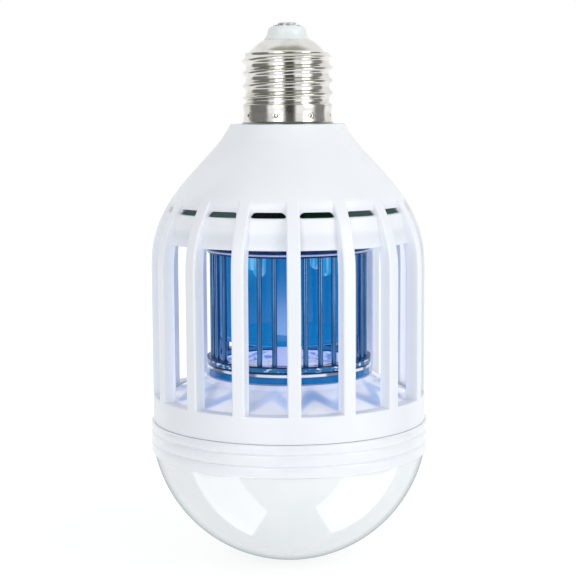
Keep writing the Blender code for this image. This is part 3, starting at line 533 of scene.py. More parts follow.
# name, light and dark colour, grain, roughness, metal
mottles = {
    "contact": ("contactPlate", (224, 225, 224), (208, 209, 206), 420, 0.4, 0.55),
    "board_green": ("boardGreen", (36, 120, 70), (24, 96, 56), 900, 0.45),
    "board_white": ("boardWhite", (236, 238, 238), (222, 226, 228), 500, 0.4),
    "capacitor_sleeve": ("sleeveGrey", (58, 70, 70), (48, 58, 60), 700, 0.35),
    "capacitor_film": ("filmRed", (160, 58, 36), (138, 46, 30), 800, 0.35),
    "ferrite": ("ferriteGrey", (72, 72, 76), (52, 52, 56), 1800, 0.65),
    "moulded_chip": ("chipBlack", (34, 34, 36), (24, 24, 26), 2400, 0.55),
    "lead_insulation": ("leadGrey", (60, 64, 66), (46, 50, 52), 1200, 0.45),
    "aluminium": ("plateAluminium", (200, 202, 206), (180, 183, 188), 260, 0.38, 1.0),
}
finishes = {slot: finish(build.__name__, build) for slot, build in shaders.items()}
for slot, (name, *look) in mottles.items():
    finishes[slot] = finish(name, speckled(*look))
print("finishes:", len(finishes))

# the cage: rim, bell, pockets, slots, panels, ribs and lower band in one moulding
cage = {
    "ribCount": 16,
    "ribWidth": 3.7,
    "ribDepth": 3.8,
    "ribChamfer": 0.25,
    "edgeRound": 0.5,
    "rimRadius": 16.9,
    "rimZ": -29.0,
    "flare": (27.0, -41.9),
    "body": (40.1, -69.7),
    "topSlope": 0.5,
    "flareSlope": 0.95,
    "flareReach": 0.65,
    "bodyReach": 0.38,
    "pocketZ": -49.0,
    "slotTop": -52.6,
    "slotBottom": -54.15,
    "slotDepth": 1.3,
    "slotLip": 0.14,
    "windowTop": -62.8,
    "windowBottom": -107.7,
    "bandBottom": -115.2,
    "spigot": (39.05, -119.0),
    "bandInner": 37.55,
    "sillZ": -108.5,
    "pocketDepth": 2.4,
    "wall": 1.9,
    "wallTop": -31.0,
    "slotWall": 0.35,
    "slotEdge": 0.2,
    "neckTop": -23.85,
    "neckRadius": 12.2,
    "neckBore": 10.2,
    "footSeat": 13.7,
    "footSeatDepth": 0.3,
    "slotCorner": 0.95,
    "slotFoot": 0.25,
}


def bezierPoints(a, b, c, d, steps):
    points = []
    for step in range(steps):
        t = step / steps
        shares = ((1 - t) ** 3, 3 * t * (1 - t) ** 2, 3 * t * t * (1 - t), t ** 3)
        points.append([sum(s * p[axis] for s, p in zip(shares, (a, b, c, d))) for axis in (0, 1)])
    return points


def bellPoints():
    start = (cage["rimRadius"], cage["rimZ"] - 0.5)
    flare, body = cage["flare"], cage["body"]
    third = (cage["rimZ"] - flare[1]) / 3
    upper = bezierPoints(start, (start[0] + cage["topSlope"] * third, start[1] - third),
                         (flare[0] - cage["flareSlope"] * third, flare[1] + third), flare, 40)
    reach = (body[0] - flare[0]) * cage["flareReach"]
    lower = bezierPoints(flare, (flare[0] + reach, flare[1] - reach / cage["flareSlope"]),
                         (body[0], body[1] + cage["bodyReach"] * (flare[1] - body[1])), body, 60)
    return upper + lower + [list(body)]


bellCurve = bellPoints()


def bellRadius(z):
    for (first, firstZ), (second, secondZ) in zip(bellCurve, bellCurve[1:]):
        if secondZ <= z <= firstZ:
            return first + (second - first) * (firstZ - z) / (firstZ - secondZ)
    return bellCurve[0][0] if z > bellCurve[0][1] else cage["body"][0]


def spread(start, end, count):
    return [start + (end - start) * step / count for step in range(count)]


def cageLevels():
    # z, depth of the gap behind the outer surface, and the zone below each level
    edge, slotEdge = cage["edgeRound"], cage["slotEdge"]
    deep, shallow = cage["pocketDepth"], cage["slotDepth"]
    slotTop, slotBottom, windowTop, windowBottom = (
        cage[name] for name in ("slotTop", "slotBottom", "windowTop", "windowBottom"))
    fall = ((0.0, 0.0), (0.5, 0.134), (0.866, 0.5))  # quarter round, out to in
    rise = fall[::-1]
    levels = [(z, 0.0, "bell") for z in spread(cage["rimZ"] - 0.5, cage["pocketZ"], 20)]
    # pocket above the slot
    ramp = cage["pocketZ"] - slotTop
    levels += [(cage["pocketZ"] - ramp * share, shallow * (share / 0.9) ** 1.6, "bell")
               for share in spread(0.0, 0.9, 9)]
    levels += [(slotTop + slotEdge * (1 - along), shallow - cage["slotLip"] + slotEdge * drop, "bell")
               for along, drop in fall]
    levels += [(slotTop, shallow + slotEdge, "slot"), (slotBottom, shallow + edge, "panel")]
    levels += [(slotBottom - edge * (1 - along), shallow + edge * drop, "panel") for along, drop in rise]
    levels += [(z, shallow + (deep - shallow) * min(1.0, (slotBottom - z) / 5), "panel")
               for z in spread(slotBottom - 1.0, windowTop + 0.5, 8)]
    levels += [(windowTop + edge * (1 - along), deep + edge * drop, "panel") for along, drop in fall]
    levels += [(z, deep + edge, "window") for z in (windowTop, -64.5, -66.5, -69.7, -85.0, -100.0)]
    levels += [(windowBottom, edge, "band")]
    levels += [(windowBottom - edge * (1 - along), edge * drop, "band") for along, drop in rise]
    levels += [(z, 0.0, "band") for z in (-110.5, -113.0, -114.9)]
    return levels + [(cage["bandBottom"], 0.0, "end")]


def cageSector():
    # one rib half, one gap and the next rib half
    pitch = 2 * math.pi / cage["ribCount"]
    half, edge, deep = cage["ribWidth"] / 2, cage["edgeRound"], cage["ribDepth"]
    foot = cage["pocketDepth"] + edge
    chamfer = deep - cage["ribChamfer"]
    levels = cageLevels()
    slotTop, slotBottom, windowTop, sill = (
        next(level for level in levels if level[0] == cage[name])
        for name in ("slotTop", "slotBottom", "windowTop", "windowBottom"))
    innerTop = next(i for i, level in enumerate(levels) if level[0] < cage["wallTop"])
    meridian = bellRadius(cage["pocketZ"])
    bm = bmesh.new()

    # lines that run down the sector: kind, place, and whether it is counted from the far rib
    ribPlaces = [(0.0, 0.0), (0.7, 0.0), (half - edge, 0.0)]
    ribPlaces += [(half - edge + edge * math.sin(math.radians(a)), edge * (1 - math.cos(math.radians(a))))
                  for a in (22.5, 45, 67.5)]
    drops = [drop for _, drop in ribPlaces] + [edge]
    nearSide = (0.0, 0.35, 0.8, 1.4, 2.2)
    gaps = [("near", place, False) for place in nearSide]
    ribs = [("rib", place, False) for place, _ in ribPlaces] + gaps[:1]
    farRibs = [(kind, place, True) for kind, place, _ in ribs]
    gapLines = gaps + [("mid", share, False) for share in (0.25, 0.5, 0.75)]
    gapLines += [(kind, place, True) for kind, place, _ in reversed(gaps)]
    roundLines = ribs[:-1] + gapLines + farRibs[-2::-1]

    def angleOf(line, radius, z):
        kind, value, far = line
        reference = meridian if z > cage["pocketZ"] else radius
        side = math.asin(half / reference)
        if kind == "rib":
            angle = math.asin(value / reference)
        elif kind == "near":
            angle = side + value / reference
        else:
            first = side + nearSide[-1] / reference
            angle = first + (pitch - 2 * first) * value
        return pitch - angle if far else angle

    def shift(line, level):
        # rounds the upper corners of the slots, and the lower ones a little
        if line[0] == "near" and level is slotTop:
            return -cage["slotCorner"] * max(0.0, 1 - line[1] / 1.4) ** 2
        if line[0] == "near" and level is slotBottom:
            return cage["slotFoot"] * max(0.0, 1 - line[1] / 0.8) ** 2
        return 0.0

    def point(line, depth, level):
        z = level[0]
        radius = bellRadius(z) - depth
        place = around(radius, angleOf(line, radius, z), z + shift(line, level))
        return bm.verts.new([value * mm for value in place])

    def patch(upper, lower, one, two):
        # a face between two levels; each of its sides is a line and the depth at either level
        bm.faces.new((point(one[0], one[1], upper), point(two[0], two[1], upper),
                      point(two[0], two[2], lower), point(one[0], one[2], lower)))

    def inner(level):
        # the wall is thinned at the slots
        return level[1] + cage["slotWall" if level in (slotTop, slotBottom) else "wall"]

    for k, (upper, lower) in enumerate(zip(levels, levels[1:])):
        zone = upper[2]
        hold = [min(1.0, level[1] / edge) for level in (upper, lower)]
        for lines in (ribs, farRibs):
            for one, two, dropOne, dropTwo in zip(lines, lines[1:], drops, drops[1:]):
                patch(upper, lower, (one, dropOne * hold[0], dropOne * hold[1]),
                      (two, dropTwo * hold[0], dropTwo * hold[1]))
            # side wall of the rib, from its rounded edge to the foot in the gap
            side = lines[-1]
            ends = (side, min(edge, upper[1]), min(edge, lower[1]))
            feet = (side, upper[1], foot if zone == "window" else lower[1])
            if feet[1] > ends[1] or feet[2] > ends[2]:
                patch(upper, lower, ends, feet)
            if zone == "slot":
                patch(upper, lower, feet, (side, inner(upper), inner(lower)))
            if zone == "window":
                back = [(line, deep, deep) for line in lines[:4]]
                patch(upper, lower, (side, foot, foot), (side, chamfer, chamfer))
                patch(upper, lower, (side, chamfer, chamfer), back[3])
                for one, two in zip(back, back[1:]):
                    patch(upper, lower, one, two)
        if zone in ("bell", "panel", "band"):
            for one, two in zip(gapLines, gapLines[1:]):
                patch(upper, lower, (one, upper[1], lower[1]), (two, upper[1], lower[1]))
        # inner skin of the bell
        if zone in ("bell", "slot", "panel") and k >= innerTop:
            for one, two in zip(roundLines, roundLines[1:]):
                if zone != "slot" or "rib" in (one[0], two[0]):
                    patch(upper, lower, (one, inner(upper), inner(lower)), (two, inner(upper), inner(lower)))

    # faces across the wall at the slot, the window top and the sill
    topDepth = inner(windowTop)
    for level, depths in ((slotTop, (slotTop[1], inner(slotTop))),
                          (slotBottom, (slotBottom[1], inner(slotBottom))),
                          (windowTop, (windowTop[1], chamfer, topDepth)),
                          (sill, (sill[1], foot, chamfer, deep))):
        for one, two in zip(gapLines, gapLines[1:]):
            for outer, deeper in zip(depths, depths[1:]):
                patch(level, level, (one, outer, deeper), (two, outer, deeper))
    for lines in (ribs, farRibs):
        side, corners = lines[-1], lines[3:-1]
        for one, two in zip(lines[:3], lines[1:4]):
            patch(windowTop, windowTop, (one, deep, topDepth), (two, deep, topDepth))
        bm.faces.new([point(side, topDepth, windowTop), point(side, chamfer, windowTop),
                      point(corners[0], deep, windowTop)]
                     + [point(line, topDepth, windowTop) for line in corners])
        bm.faces.new([point(side, deep, sill), point(side, chamfer, sill)]
                     + [point(line, deep, sill) for line in corners])

    # neck and spigot, the same all round
    def strip(profile):
        for (radius, z), (nextRadius, nextZ) in zip(profile, profile[1:]):
            depths = (bellRadius(z) - radius, bellRadius(nextZ) - nextRadius)
            for one, two in zip(roundLines, roundLines[1:]):
                patch((z,), (nextZ,), (one, *depths), (two, *depths))

    rim, neck, bore, seat = cage["rimZ"], cage["neckRadius"], cage["neckBore"], cage["footSeat"]
    seatZ, neckTop = rim - cage["footSeatDepth"], cage["neckTop"]
    top, wallZ = levels[0][0], levels[innerTop][0]
    strip([(bellRadius(top), top), (cage["rimRadius"] - 0.15, rim - 0.15), (cage["rimRadius"] - 0.5, rim),
           (seat, rim), (seat, seatZ), (neck, seatZ), (neck, neckTop), (bore, neckTop), (bore, wallZ + 0.4),
           (bore, wallZ), (bellRadius(wallZ) - cage["wall"], wallZ)])
    outer, bottom, (spigot, spigotEnd) = cage["body"][0], cage["bandBottom"], cage["spigot"]
    strip([(outer, bottom), (spigot, bottom), (spigot, spigotEnd), (cage["bandInner"], spigotEnd),
           (cage["bandInner"], cage["sillZ"]), (outer - deep, cage["sillZ"]),
           (outer - deep, cage["windowBottom"])])
    bmesh.ops.remove_doubles(bm, verts=bm.verts, dist=0.002 * mm)
    bmesh.ops.dissolve_degenerate(bm, edges=bm.edges, dist=0.001 * mm)
    mesh = bpy.data.meshes.new("cageSector")
    bm.to_mesh(mesh)
    bm.free()
    return mesh


def freeze(piece):
    # applies what is left of a piece's modifiers
    ready = piece.evaluated_get(bpy.context.evaluated_depsgraph_get())
    mesh = bpy.data.meshes.new_from_object(ready)
    piece.modifiers.clear()
    piece.data = mesh
    mesh.name = piece.name


def makeCage():
    piece = ringRecipe("ribbedCage", cage["ribCount"], 0.0, 0.0, cageSector(), finishes["white_plastic"])
    bm = bmesh.new()
    bm.from_mesh(piece.data)
    openEdges = sum(1 for edge in bm.edges if not edge.is_manifold)
    bmesh.ops.recalc_face_normals(bm, faces=bm.faces)
    bm.to_mesh(piece.data)
    bm.free()
    piece.data.shade_smooth()
    piece.data.set_sharp_from_angle(angle=math.radians(38))
    even = piece.modifiers.new("evenNormals", "WEIGHTED_NORMAL")
    even.keep_sharp = True
    freeze(piece)
    settle(piece, "white_plastic", "cage_housing")
    print("cage:", len(piece.data.polygons), "faces,", openEdges, "open edges")


makeCage()

# screw cap: rolled thread, shoulder, skirt with stake marks, flared foot
cap = {
    "mouth": 7.2,
    "mouthZ": -5.1,
    "coneFoot": (11.0, -8.5),
    "coneBulge": 0.3,
    "crest": 13.15,
    "depth": 1.05,
    "pitch": 3.629,
    "threadTop": -8.7,
    "threadLength": 14.0,
    "threadRows": 112,
    "threadStart": math.radians(144),
    "skirt": 12.95,
    "skirtStep": 0.85,
    "waist": 0.2,
    # flare of the foot: out from the skirt, and up from the foot
    "footFlare": ((0.0, 0.9), (0.08, 0.55), (0.3, 0.22), (0.45, 0.12), (0.45, 0.0)),
    "footZ": -29.0,
    "wall": 0.45,
    "stakeCount": 8,
    "stakeAngle": math.radians(-17.0),
    "stakeZ": -26.6,
    "stakeRadius": 0.62,
    "stakeDepth": 0.42,
    "stakeRim": 0.10,
}


def shellOutline(root, threadEnd):
    mouth, mouthZ, (footRadius, coneZ) = cap["mouth"], cap["mouthZ"], cap["coneFoot"]
    top, skirt, wall, step, footZ = (
        cap[name] for name in ("threadTop", "skirt", "wall", "skirtStep", "footZ"))
    cone = []
    for share in [part / 12 for part in range(13)]:
        bulge = 4 * cap["coneBulge"] * share * (1 - share)
        cone.append((mouth + (footRadius - mouth) * share, mouthZ - (mouthZ - coneZ) * share + bulge))
    outline = cone + [(footRadius + 0.25, coneZ - 0.14), (root - 0.35, top + 0.03), (root - 0.1, top),
                      (root, top - 0.06)]
    rows = cap["threadRows"]
    outline += [(root, top - cap["threadLength"] * row / rows) for row in range(1, rows + 1)]
    for share in [part / 6 for part in range(1, 7)]:
        outline.append((root + (skirt - root) * share * share * (3 - 2 * share), threadEnd - step * share))
    # slight waist of the skirt
    waistTop, waistEnd = threadEnd - step - 0.25, footZ + cap["footFlare"][0][1]
    for z in spread(waistTop, waistEnd, 24):
        share = (waistTop - z) / (waistTop - waistEnd)
        outline.append((skirt - cap["waist"] * math.sin(math.pi * share) ** 2, z))
    outline += [(skirt + out, footZ + up) for out, up in cap["footFlare"]]
    outline += [(skirt - wall, footZ), (skirt - wall, threadEnd - step), (root - wall, threadEnd),
                (root - wall, coneZ - 0.8)]
    return outline + [(radius, z - 0.6) for radius, z in reversed(cone)]


def makeShell():
    root = cap["crest"] - cap["depth"]
    threadEnd = cap["threadTop"] - cap["threadLength"]
    start = turnedMesh("screwShellPlain", shellOutline(root, threadEnd), 256)
    recipe = Recipe("rolledThread", {
        "Crest Height": cap["depth"] * mm, "Pitch": cap["pitch"] * mm, "Start Angle": cap["threadStart"],
        "Thread Top": cap["threadTop"] * mm, "Thread End": threadEnd * mm, "Root Radius": root * mm,
        "Stake Radius": cap["stakeRadius"] * mm, "Stake Depth": cap["stakeDepth"] * mm,
        "Stake Height": cap["stakeZ"] * mm, "Stake Angle": cap["stakeAngle"],
        "Stake Pitch": 2 * math.pi / cap["stakeCount"]})
    x, y, z = recipe.split(recipe.node("GeometryNodeInputPosition"))
    radius = (x * x + y * y) ** 0.5
    angle = recipe.azimuth(x, y)
    turns = (z - recipe.get("Thread Top")) / recipe.get("Pitch")
    turns = turns - (angle - recipe.get("Start Angle")) / (2 * math.pi)
    wave = (0.5 + 0.5 * recipe.sum("COSINE", turns * (2 * math.pi))) ** 1.5
    runOut = recipe.get("Pitch") * 0.4
    fade = recipe.fit((recipe.get("Thread Top") - z) / runOut, 0.0, 1.0)
    fade = fade * recipe.fit((z - recipe.get("Thread End")) / runOut, 0.0, 1.0)
    outside = recipe.sum("GREATER_THAN", radius, recipe.get("Root Radius") - 0.05 * mm)
    lift = recipe.get("Crest Height") * wave * fade
    # stake marks: round dents with a small raised rim
    turnAway = (angle - recipe.get("Stake Angle")) / recipe.get("Stake Pitch")
    across = (turnAway - recipe.sum("ROUND", turnAway)) * recipe.get("Stake Pitch") * radius
    up = z - recipe.get("Stake Height")
    reach = ((across * across + up * up) ** 0.5) / recipe.get("Stake Radius")
    dent = recipe.fit(reach, 1.0, 0.15) * recipe.get("Stake Depth")
    rimUp = recipe.fit(reach, 0.9, 1.2) * recipe.fit(reach, 1.7, 1.25) * cap["stakeRim"] * mm
    outsideSkirt = recipe.sum("GREATER_THAN", radius, (cap["skirt"] - cap["waist"] - 0.1) * mm)
    onSkirt = outsideSkirt * recipe.sum("LESS_THAN", z, recipe.get("Thread End") - 0.8 * mm)
    shift = lift * outside + (rimUp - dent) * onSkirt
    moved = recipe.node("ShaderNodeCombineXYZ", {}, (x * shift / radius, y * shift / radius, 0.0))
    shape = recipe.node("GeometryNodeSetPosition", {}, {"Geometry": recipe.get("Start"), "Offset": moved})
    piece = recipe.make("screwShell", shape, start, finishes["nickel"])
    settle(piece, "nickel", "screw_shell")
    print("cap shell:", len(piece.data.polygons), "faces")


makeShell()

# plug and contact on top of the cap, with a crimped washer between them
capTop = {
    "plug": ((1.3, -1.0), (5.3, -1.0, 1.7), (5.85, -3.7, 2.0), (6.9, -5.1), (6.9, -5.9), (9.2, -7.9),
             (9.2, -9.0), (1.6, -9.0), (1.6, -3.4), (1.3, -3.4)),
    "button": ((0.0, 0.0), (2.3, 0.0, 0.25), (2.7, -0.22, 0.2), (2.7, -0.55, 0.1), (1.0, -0.7), (1.0, -3.1),
               (0.0, -3.1)),
    "petals": 6,
    "petalRoot": 3.85,
    "petalReach": 0.2,
    "washerBore": 1.15,
    "washerTop": -0.76,
    "washerLow": -0.96,
}


def makeCapTop():
    settle(turn("capPlug", roundOff(capTop["plug"], 10), finishes["white_insulator"], 96), "white_insulator",
           "cap_insulator")
    bm = bmesh.new()
    bm.from_mesh(turnedMesh("contactPlain", roundOff(capTop["button"], 4), 72))

    def petal(angle):
        wave = abs(math.cos(capTop["petals"] * angle / 2)) ** 0.6
        return capTop["petalRoot"] + capTop["petalReach"] * wave

    bore, top, low = capTop["washerBore"], capTop["washerTop"], capTop["washerLow"]
    addRings(bm, ((bore, top + 0.04), (petal, top), (petal, low), (bore, low)), 96)
    settle(addPiece("contactButton", smoothMesh(bm, "contactButton"), finishes["contact"]), "nickel",
           "centre_contact")
    print("cap top done")


makeCapTop()

# grid: two clear rings and the rods through them
grid = {
    "rods": 32,
    "rodRadius": 0.75,
    "circle": 22.4,
    "clocking": math.radians(-1.2),
    "top": -63.1,
    "bottom": -101.6,
    "topRing": 3.0,
    "bottomRing": 4.9,
    "width": 3.8,
    # outer profile of each ring: how far in from the full width, and how far below the top
    "topSteps": ((0.0, 0.0), (0.0, 1.7), (0.5, 1.85), (0.5, 2.0), (0.1, 2.05), (0.1, 2.6), (0.5, 2.7),
                 (0.5, 3.0)),
    "bottomSteps": ((0.0, 0.0), (0.0, 1.6), (0.7, 1.75), (0.7, 2.15), (0.15, 2.25), (0.15, 2.95),
                    (0.45, 3.05), (0.3, 4.9)),
}


def makeRing(name, top, height, steps, node):
    outer = grid["circle"] + grid["width"] / 2
    inner = grid["circle"] - grid["width"] / 2
    corners = [(inner, top, 0.3)]
    corners += [(outer - inset, top - drop, 0.3 if drop in (0.0, height) else 0.12)
                for inset, drop in steps]
    outline = roundOff(corners + [(inner, top - height, 0.3)], 4)
    settle(turn(name, outline, finishes["clear_blue_ring"], 160), "clear_blue_ring", node)


def makeGrid():
    top, low, rod = grid["top"], grid["bottom"], grid["rodRadius"]
    makeRing("gridRingTop", top, grid["topRing"], grid["topSteps"], "grid_top_ring")
    makeRing("gridRingBottom", low + grid["bottomRing"], grid["bottomRing"], grid["bottomSteps"],
             "grid_bottom_ring")
    outline = roundOff([(0.0, top), (rod, top, 0.2), (rod, low, 0.2), (0.0, low)], 3)
    start = turnedMesh("rodPlain", outline, 16)
    piece = ringRecipe("gridRods", grid["rods"], grid["circle"], grid["clocking"], start,
                       finishes["steel_rod"])
    piece.data.shade_smooth()
    settle(piece, "steel_rod", *[name for name in nodeNames if name.startswith("grid_rod_")])
    print("grid:", grid["rods"], "rods,", len(piece.data.polygons), "faces")


makeGrid()


def makeLamp():
    top, low, outer, wall = (lamp[name] for name in ("tubeTop", "tubeBottom", "tubeRadius", "tubeWall"))
    column, bore, end = lamp["column"], lamp["columnBore"], grid["bottom"]
    tube = roundOff([(outer - wall, top), (outer, top, 0.3), (outer, low, 1.0), (column + 0.3, low, 0.2),
                     (column + 0.3, low + wall), (outer - wall, low + wall, 0.6)], 5)
    settle(turn("lampTube", tube, finishes["blue_tube"], 160), "blue_tube", "uv_lamp_tube")
    radius, ledTop = lamp["ledRadius"], lamp["ledTop"]
    flange = radius + lamp["ledFlange"]
    lens = [(0.0, ledTop), (flange, ledTop), (flange, ledTop - 1.0), (radius, ledTop - 1.1)]
    lens += [(radius * math.cos(a), lamp["ledTip"] + radius - radius * math.sin(a))
             for a in [math.pi / 2 * step / 8 for step in range(9)]]
    leds = ringRecipe("uvLeds", 4, lamp["ledCircle"], lamp["ledClocking"], turnedMesh("lensPlain", lens, 32),
                      finishes["uv_lens"])
    settle(leds, "uv_lens", "uv_led_1", "uv_led_2", "uv_led_3", "uv_led_4")
    reach, collarTop, collarLow = lamp["columnCollar"]
    post = roundOff([(bore, top), (column, top), (column, collarTop), (reach, collarTop, 0.3),
                     (reach, collarLow, 0.3), (column, collarLow, 0.3), (column, end), (bore, end)], 4)
    settle(turn("wirePost", post, finishes["column_plastic"], 96), "column_plastic", "wire_column")
    print("lamp done")


makeLamp()

# chamber floor: flat under the grid, then falling to the sill, on a skirt
chamber = {"bore": 2.8, "flat": 24.6, "slopeTop": 25.8, "slopeEnd": 36.0, "outer": 37.25,
           "skirtInner": 35.45, "centreZ": -101.9, "sillZ": -108.5, "skirtEnd": -119.0, "thick": 3.0}


def makeFloor():
    bore, flat, inner = chamber["bore"], chamber["flat"], chamber["skirtInner"]
    centre, sill, end, thick = (chamber[name] for name in ("centreZ", "sillZ", "skirtEnd", "thick"))
    outline = roundOff([(bore, centre), (flat, centre, 0.3), (chamber["slopeTop"], centre - 1.2, 1.0),
                        (chamber["slopeEnd"], sill, 0.3), (chamber["slopeEnd"], sill - 0.3),
                        (chamber["outer"], sill - 0.3), (chamber["outer"], end), (inner, end),
                        (inner, sill - 2.1, 0.5), (flat, centre - thick, 0.5), (bore, centre - thick)], 5)
    settle(turn("chamberFloor", outline, finishes["floor"], 192), "white_plastic", "chamber_floor")


makeFloor()

# collar in three bands, and the diffuser
collar = {"radius": 40.85, "inner": 39.35, "top": -115.32, "bands": (2.75, 3.3, 3.2), "groove": 0.35,
          "round": 0.8}
dome = {"rimRadius": 40.0, "rimZ": -124.7, "depth": 32.9, "wall": 1.8, "spigot": 39.05, "spigotTop": -121.2}


def makeCollar():
    z, radius, groove, inner = (collar[name] for name in ("top", "radius", "groove", "inner"))
    corners = [(inner, z)]
    for height in collar["bands"]:
        corners += [(radius - groove, z, 0.06), (radius, z - groove, collar["round"]),
                    (radius, z - height + groove, 0.3)]
        z -= height
    corners += [(radius - groove, z, 0.1), (inner, z)]
    settle(turn("retainingCollar", roundOff(corners, 4), finishes["collar"], 256), "white_plastic",
           "retaining_collar")


def makeDome():
    rim, depth, spigot, wall = (dome[name] for name in ("rimRadius", "depth", "spigot", "wall"))
    ball = (rim ** 2 + depth ** 2) / (2 * depth)
    centre = dome["rimZ"] - depth + ball
    quarter = math.pi / 2

    def arc(radius, start, steps):
        angles = [start + (quarter - start) * step / steps for step in range(steps + 1)]
        return [(radius * math.cos(angle), centre - radius * math.sin(angle)) for angle in angles]

    outline = [(spigot - wall, dome["spigotTop"]), (spigot, dome["spigotTop"]), (spigot, dome["rimZ"])]
    outline += arc(ball, math.asin((centre - dome["rimZ"]) / ball), 56)
    outline += reversed(arc(ball - wall, math.acos((spigot - wall) / (ball - wall)), 20))
    settle(turn("domeDiffuser", outline, finishes["dome_diffuser"], 256, sharpDegrees=50), "dome_diffuser",
           "dome_diffuser")


makeCollar()
makeDome()
print("floor, collar and dome done")

# the rest keeps its CAD shape and gets its finish
carried = {
    "ceiling_plate": "white_plastic",
    "driver_board": "board_green",
    "bulk_capacitor": "capacitor_sleeve",
    "film_capacitor": "capacitor_film",
    "boost_transformer": "ferrite",
    "bridge_rectifier": "moulded_chip",
    "input_choke": "ferrite",
    "live_lead": "lead_insulation",
    "neutral_lead": "lead_insulation",
    "lamp_lead": "lead_insulation",
    "uv_led_board": "board_white",
    "heat_plate": "aluminium",
    "led_board": "board_white",
}
for name, slot in carried.items():
    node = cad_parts[name]
    for index in range(len(node.material_slots)):
        node.material_slots[index].material = finishes[slot]
print("carried over:", len(carried))

# studio: white floor and backdrop, soft boxes in front, dark stretches for the metal
studio = {
    "cameraDistance": 440.0,
    "cameraAzimuth": math.radians(-2.05),
    "cameraHeight": -24.7,
    "cameraPitch": 0.1185,
    "cameraRoll": -0.006,
    "cameraAside": -0.18,
    "lens": 94.06,
    "skyLevel": 0.735,
    "floorZ": -157.95,
    "floorHalf": 3000.0,
    # degrees from the front, distance, height, size, power
    "softBoxes": {"softBoxLeft": (-27, 620, 20, (220, 520), 0.85),
                  "softBoxRight": (52, 620, 110, (240, 520), 0.95)},
    "softBoxAim": (0, 0, -90.0),
    # directions, in degrees from the front, where the metal reflects the dark room, and how dark
    "darkRoom": ((-13, -7, 14, 22, 0.95), (-125, -108, -60, -50, 0.81), (66, 76, 104, 116, 0.75)),
    # light cards on the floor, which the diffuser mirrors
    "cards": {"cardLeft": ((-88, -20), (-53, -69), (-14, -45), (-16, -24)),
              "cardRight": ((16, -26), (13, -48), (50, -70), (95, -7))},
    "cardLevel": 2.6,
}


def makeCamera():
    camera = toScene("photoCamera", bpy.data.cameras.new("photoCamera"))
    camera.data.lens = studio["lens"]
    camera.data.sensor_width = 36.0
    camera.data.clip_start = 0.01
    camera.data.clip_end = 20.0
    azimuth, pitch = studio["cameraAzimuth"], studio["cameraPitch"]
    ahead = math.cos(pitch)
    forward = Vector((-math.sin(azimuth) * ahead, math.cos(azimuth) * ahead, -math.sin(pitch)))
    side = Vector((math.cos(azimuth), math.sin(azimuth), 0.0))
    camera.location = Vector(around(studio["cameraDistance"], azimuth, studio["cameraHeight"])) * mm
    camera.location += side * studio["cameraAside"] * mm
    camera.rotation_euler = forward.to_track_quat("-Z", "Y").to_matrix().to_4x4().to_euler()
    camera.rotation_euler.rotate_axis("Z", studio["cameraRoll"])
    bpy.context.scene.camera = camera


def softBox(name, azimuth, distance, height, size, power):
    light = toScene(name, bpy.data.lights.new(name, "AREA"))
    light.data.shape = "RECTANGLE"
    light.data.size, light.data.size_y = size[0] * mm, size[1] * mm
    light.data.energy = power
    light.location = Vector(around(distance, math.radians(azimuth), height)) * mm
    towards = Vector(studio["softBoxAim"]) * mm - light.location
    light.rotation_euler = towards.to_track_quat("-Z", "Y").to_euler()


def darkRoom(g, azimuth):
    front, left, right = (g.band(azimuth, *edges, 1) * level for *edges, level in studio["darkRoom"])
    return front + left + right


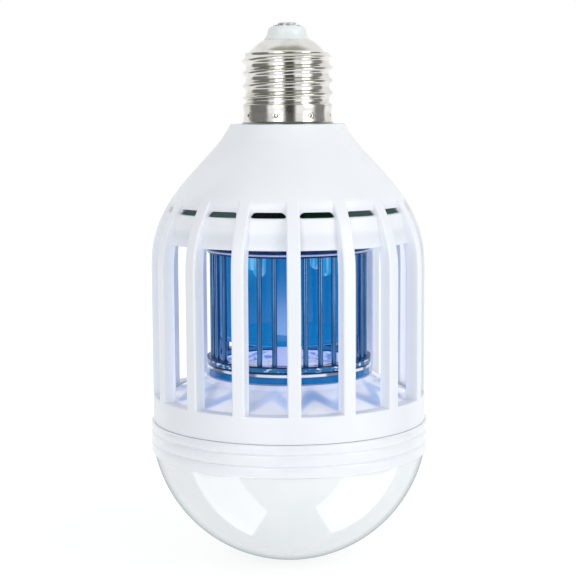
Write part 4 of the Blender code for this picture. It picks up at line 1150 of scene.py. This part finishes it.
def skyGlow(g):
    camera, glossy, through = g.rays("Camera", "Glossy", "Transmission")
    x, y, z = g.split(g.node("ShaderNodeTexCoord", out=0))
    azimuth = g.azimuth(x, y) * (180 / math.pi)
    # ceiling in olive grey, darkest in a ring above the soft boxes
    facing = g.band(azimuth, -125, -100, 100, 125, 1)
    ring = g.band(z, 0.40, 0.52, 0.66, 0.80, 1)
    dark = darkRoom(g, azimuth) * g.fit(z, 0.75, 0.45)
    dark = g.sum("MAXIMUM", dark, ring * facing * 0.9)
    ceiling = g.mix(g.fit(z, 0.6, 0.75) * facing, white, (0.42, 0.43, 0.36, 1.0))
    seen = g.mix(dark, ceiling, (0.05, 0.05, 0.04, 1.0))
    plain = g.mix(camera + through, seen, white)
    # the left side gets less light
    shade = 1 - g.fit(x, 0.1, -1.0, 0.0, 0.42) * g.fit(z, 0.6, 0.2)
    level = (shade + g.fit(x, 0.3, 1.0, 0.0, 0.14)) * studio["skyLevel"]
    seenAtAll = camera + glossy + through
    strength = g.sum("MINIMUM", g.sum("MAXIMUM", seenAtAll, level), 1.0)
    sky = g.mix(seenAtAll, (0.985, 0.995, 1.0, 1.0), plain)
    return g.node("ShaderNodeBackground", {}, {"Color": sky, "Strength": strength})


def floorPaper(g):
    camera, glossy, through = g.rays("Camera", "Glossy", "Transmission")
    point, x, y, z, away = g.place()
    azimuth = g.azimuth(x, y) * (180 / math.pi)
    gloom = darkRoom(g, azimuth) * g.fit(away, 160 * mm, 260 * mm) * glossy
    paper = g.node("ShaderNodeBsdfDiffuse", {}, {"Color": (0.93, 0.935, 0.94, 1.0)})
    glow = g.node("ShaderNodeEmission", {}, {"Color": g.mix(gloom, white, black), "Strength": 1.1})
    # full white beyond the contact shadow
    share = (camera + glossy + through) * g.fit(away, 60 * mm, 240 * mm, 0.62, 0.88) + 0.12
    return g.node("ShaderNodeMixShader", {}, (share, paper, glow))


def cardLight(g):
    # seen in reflections only
    glow = g.node("ShaderNodeEmission", {}, {"Color": white, "Strength": studio["cardLevel"]})
    clear = g.node("ShaderNodeBsdfTransparent")
    return g.node("ShaderNodeMixShader", {}, (*g.rays("Glossy"), clear, glow))


def makeStudio():
    for name, values in studio["softBoxes"].items():
        softBox(name, *values)
    world = bpy.data.worlds.new("studioWorld")
    bpy.context.scene.world = world
    world.use_nodes = True
    g = Graph(world.node_tree)
    g.node("ShaderNodeOutputWorld", {}, {"Surface": skyGlow(g)})

    def sheet(name, corners, z, material):
        bm = bmesh.new()
        bm.faces.new([bm.verts.new((x * mm, y * mm, z * mm)) for x, y in corners])
        mesh = bpy.data.meshes.new(name)
        bm.to_mesh(mesh)
        bm.free()
        addPiece(name, mesh, material)

    half, level = studio["floorHalf"], studio["floorZ"]
    sheet("paleFloor", ((-half, -half), (half, -half), (half, half), (-half, half)), level,
          finish("floorPaper", floorPaper))
    cards = finish("cardLight", cardLight)
    for name, corners in studio["cards"].items():
        sheet(name, corners, level + 0.1, cards)


makeCamera()
makeStudio()
bpy.context.scene.view_settings.view_transform = "Standard"
print("studio done")
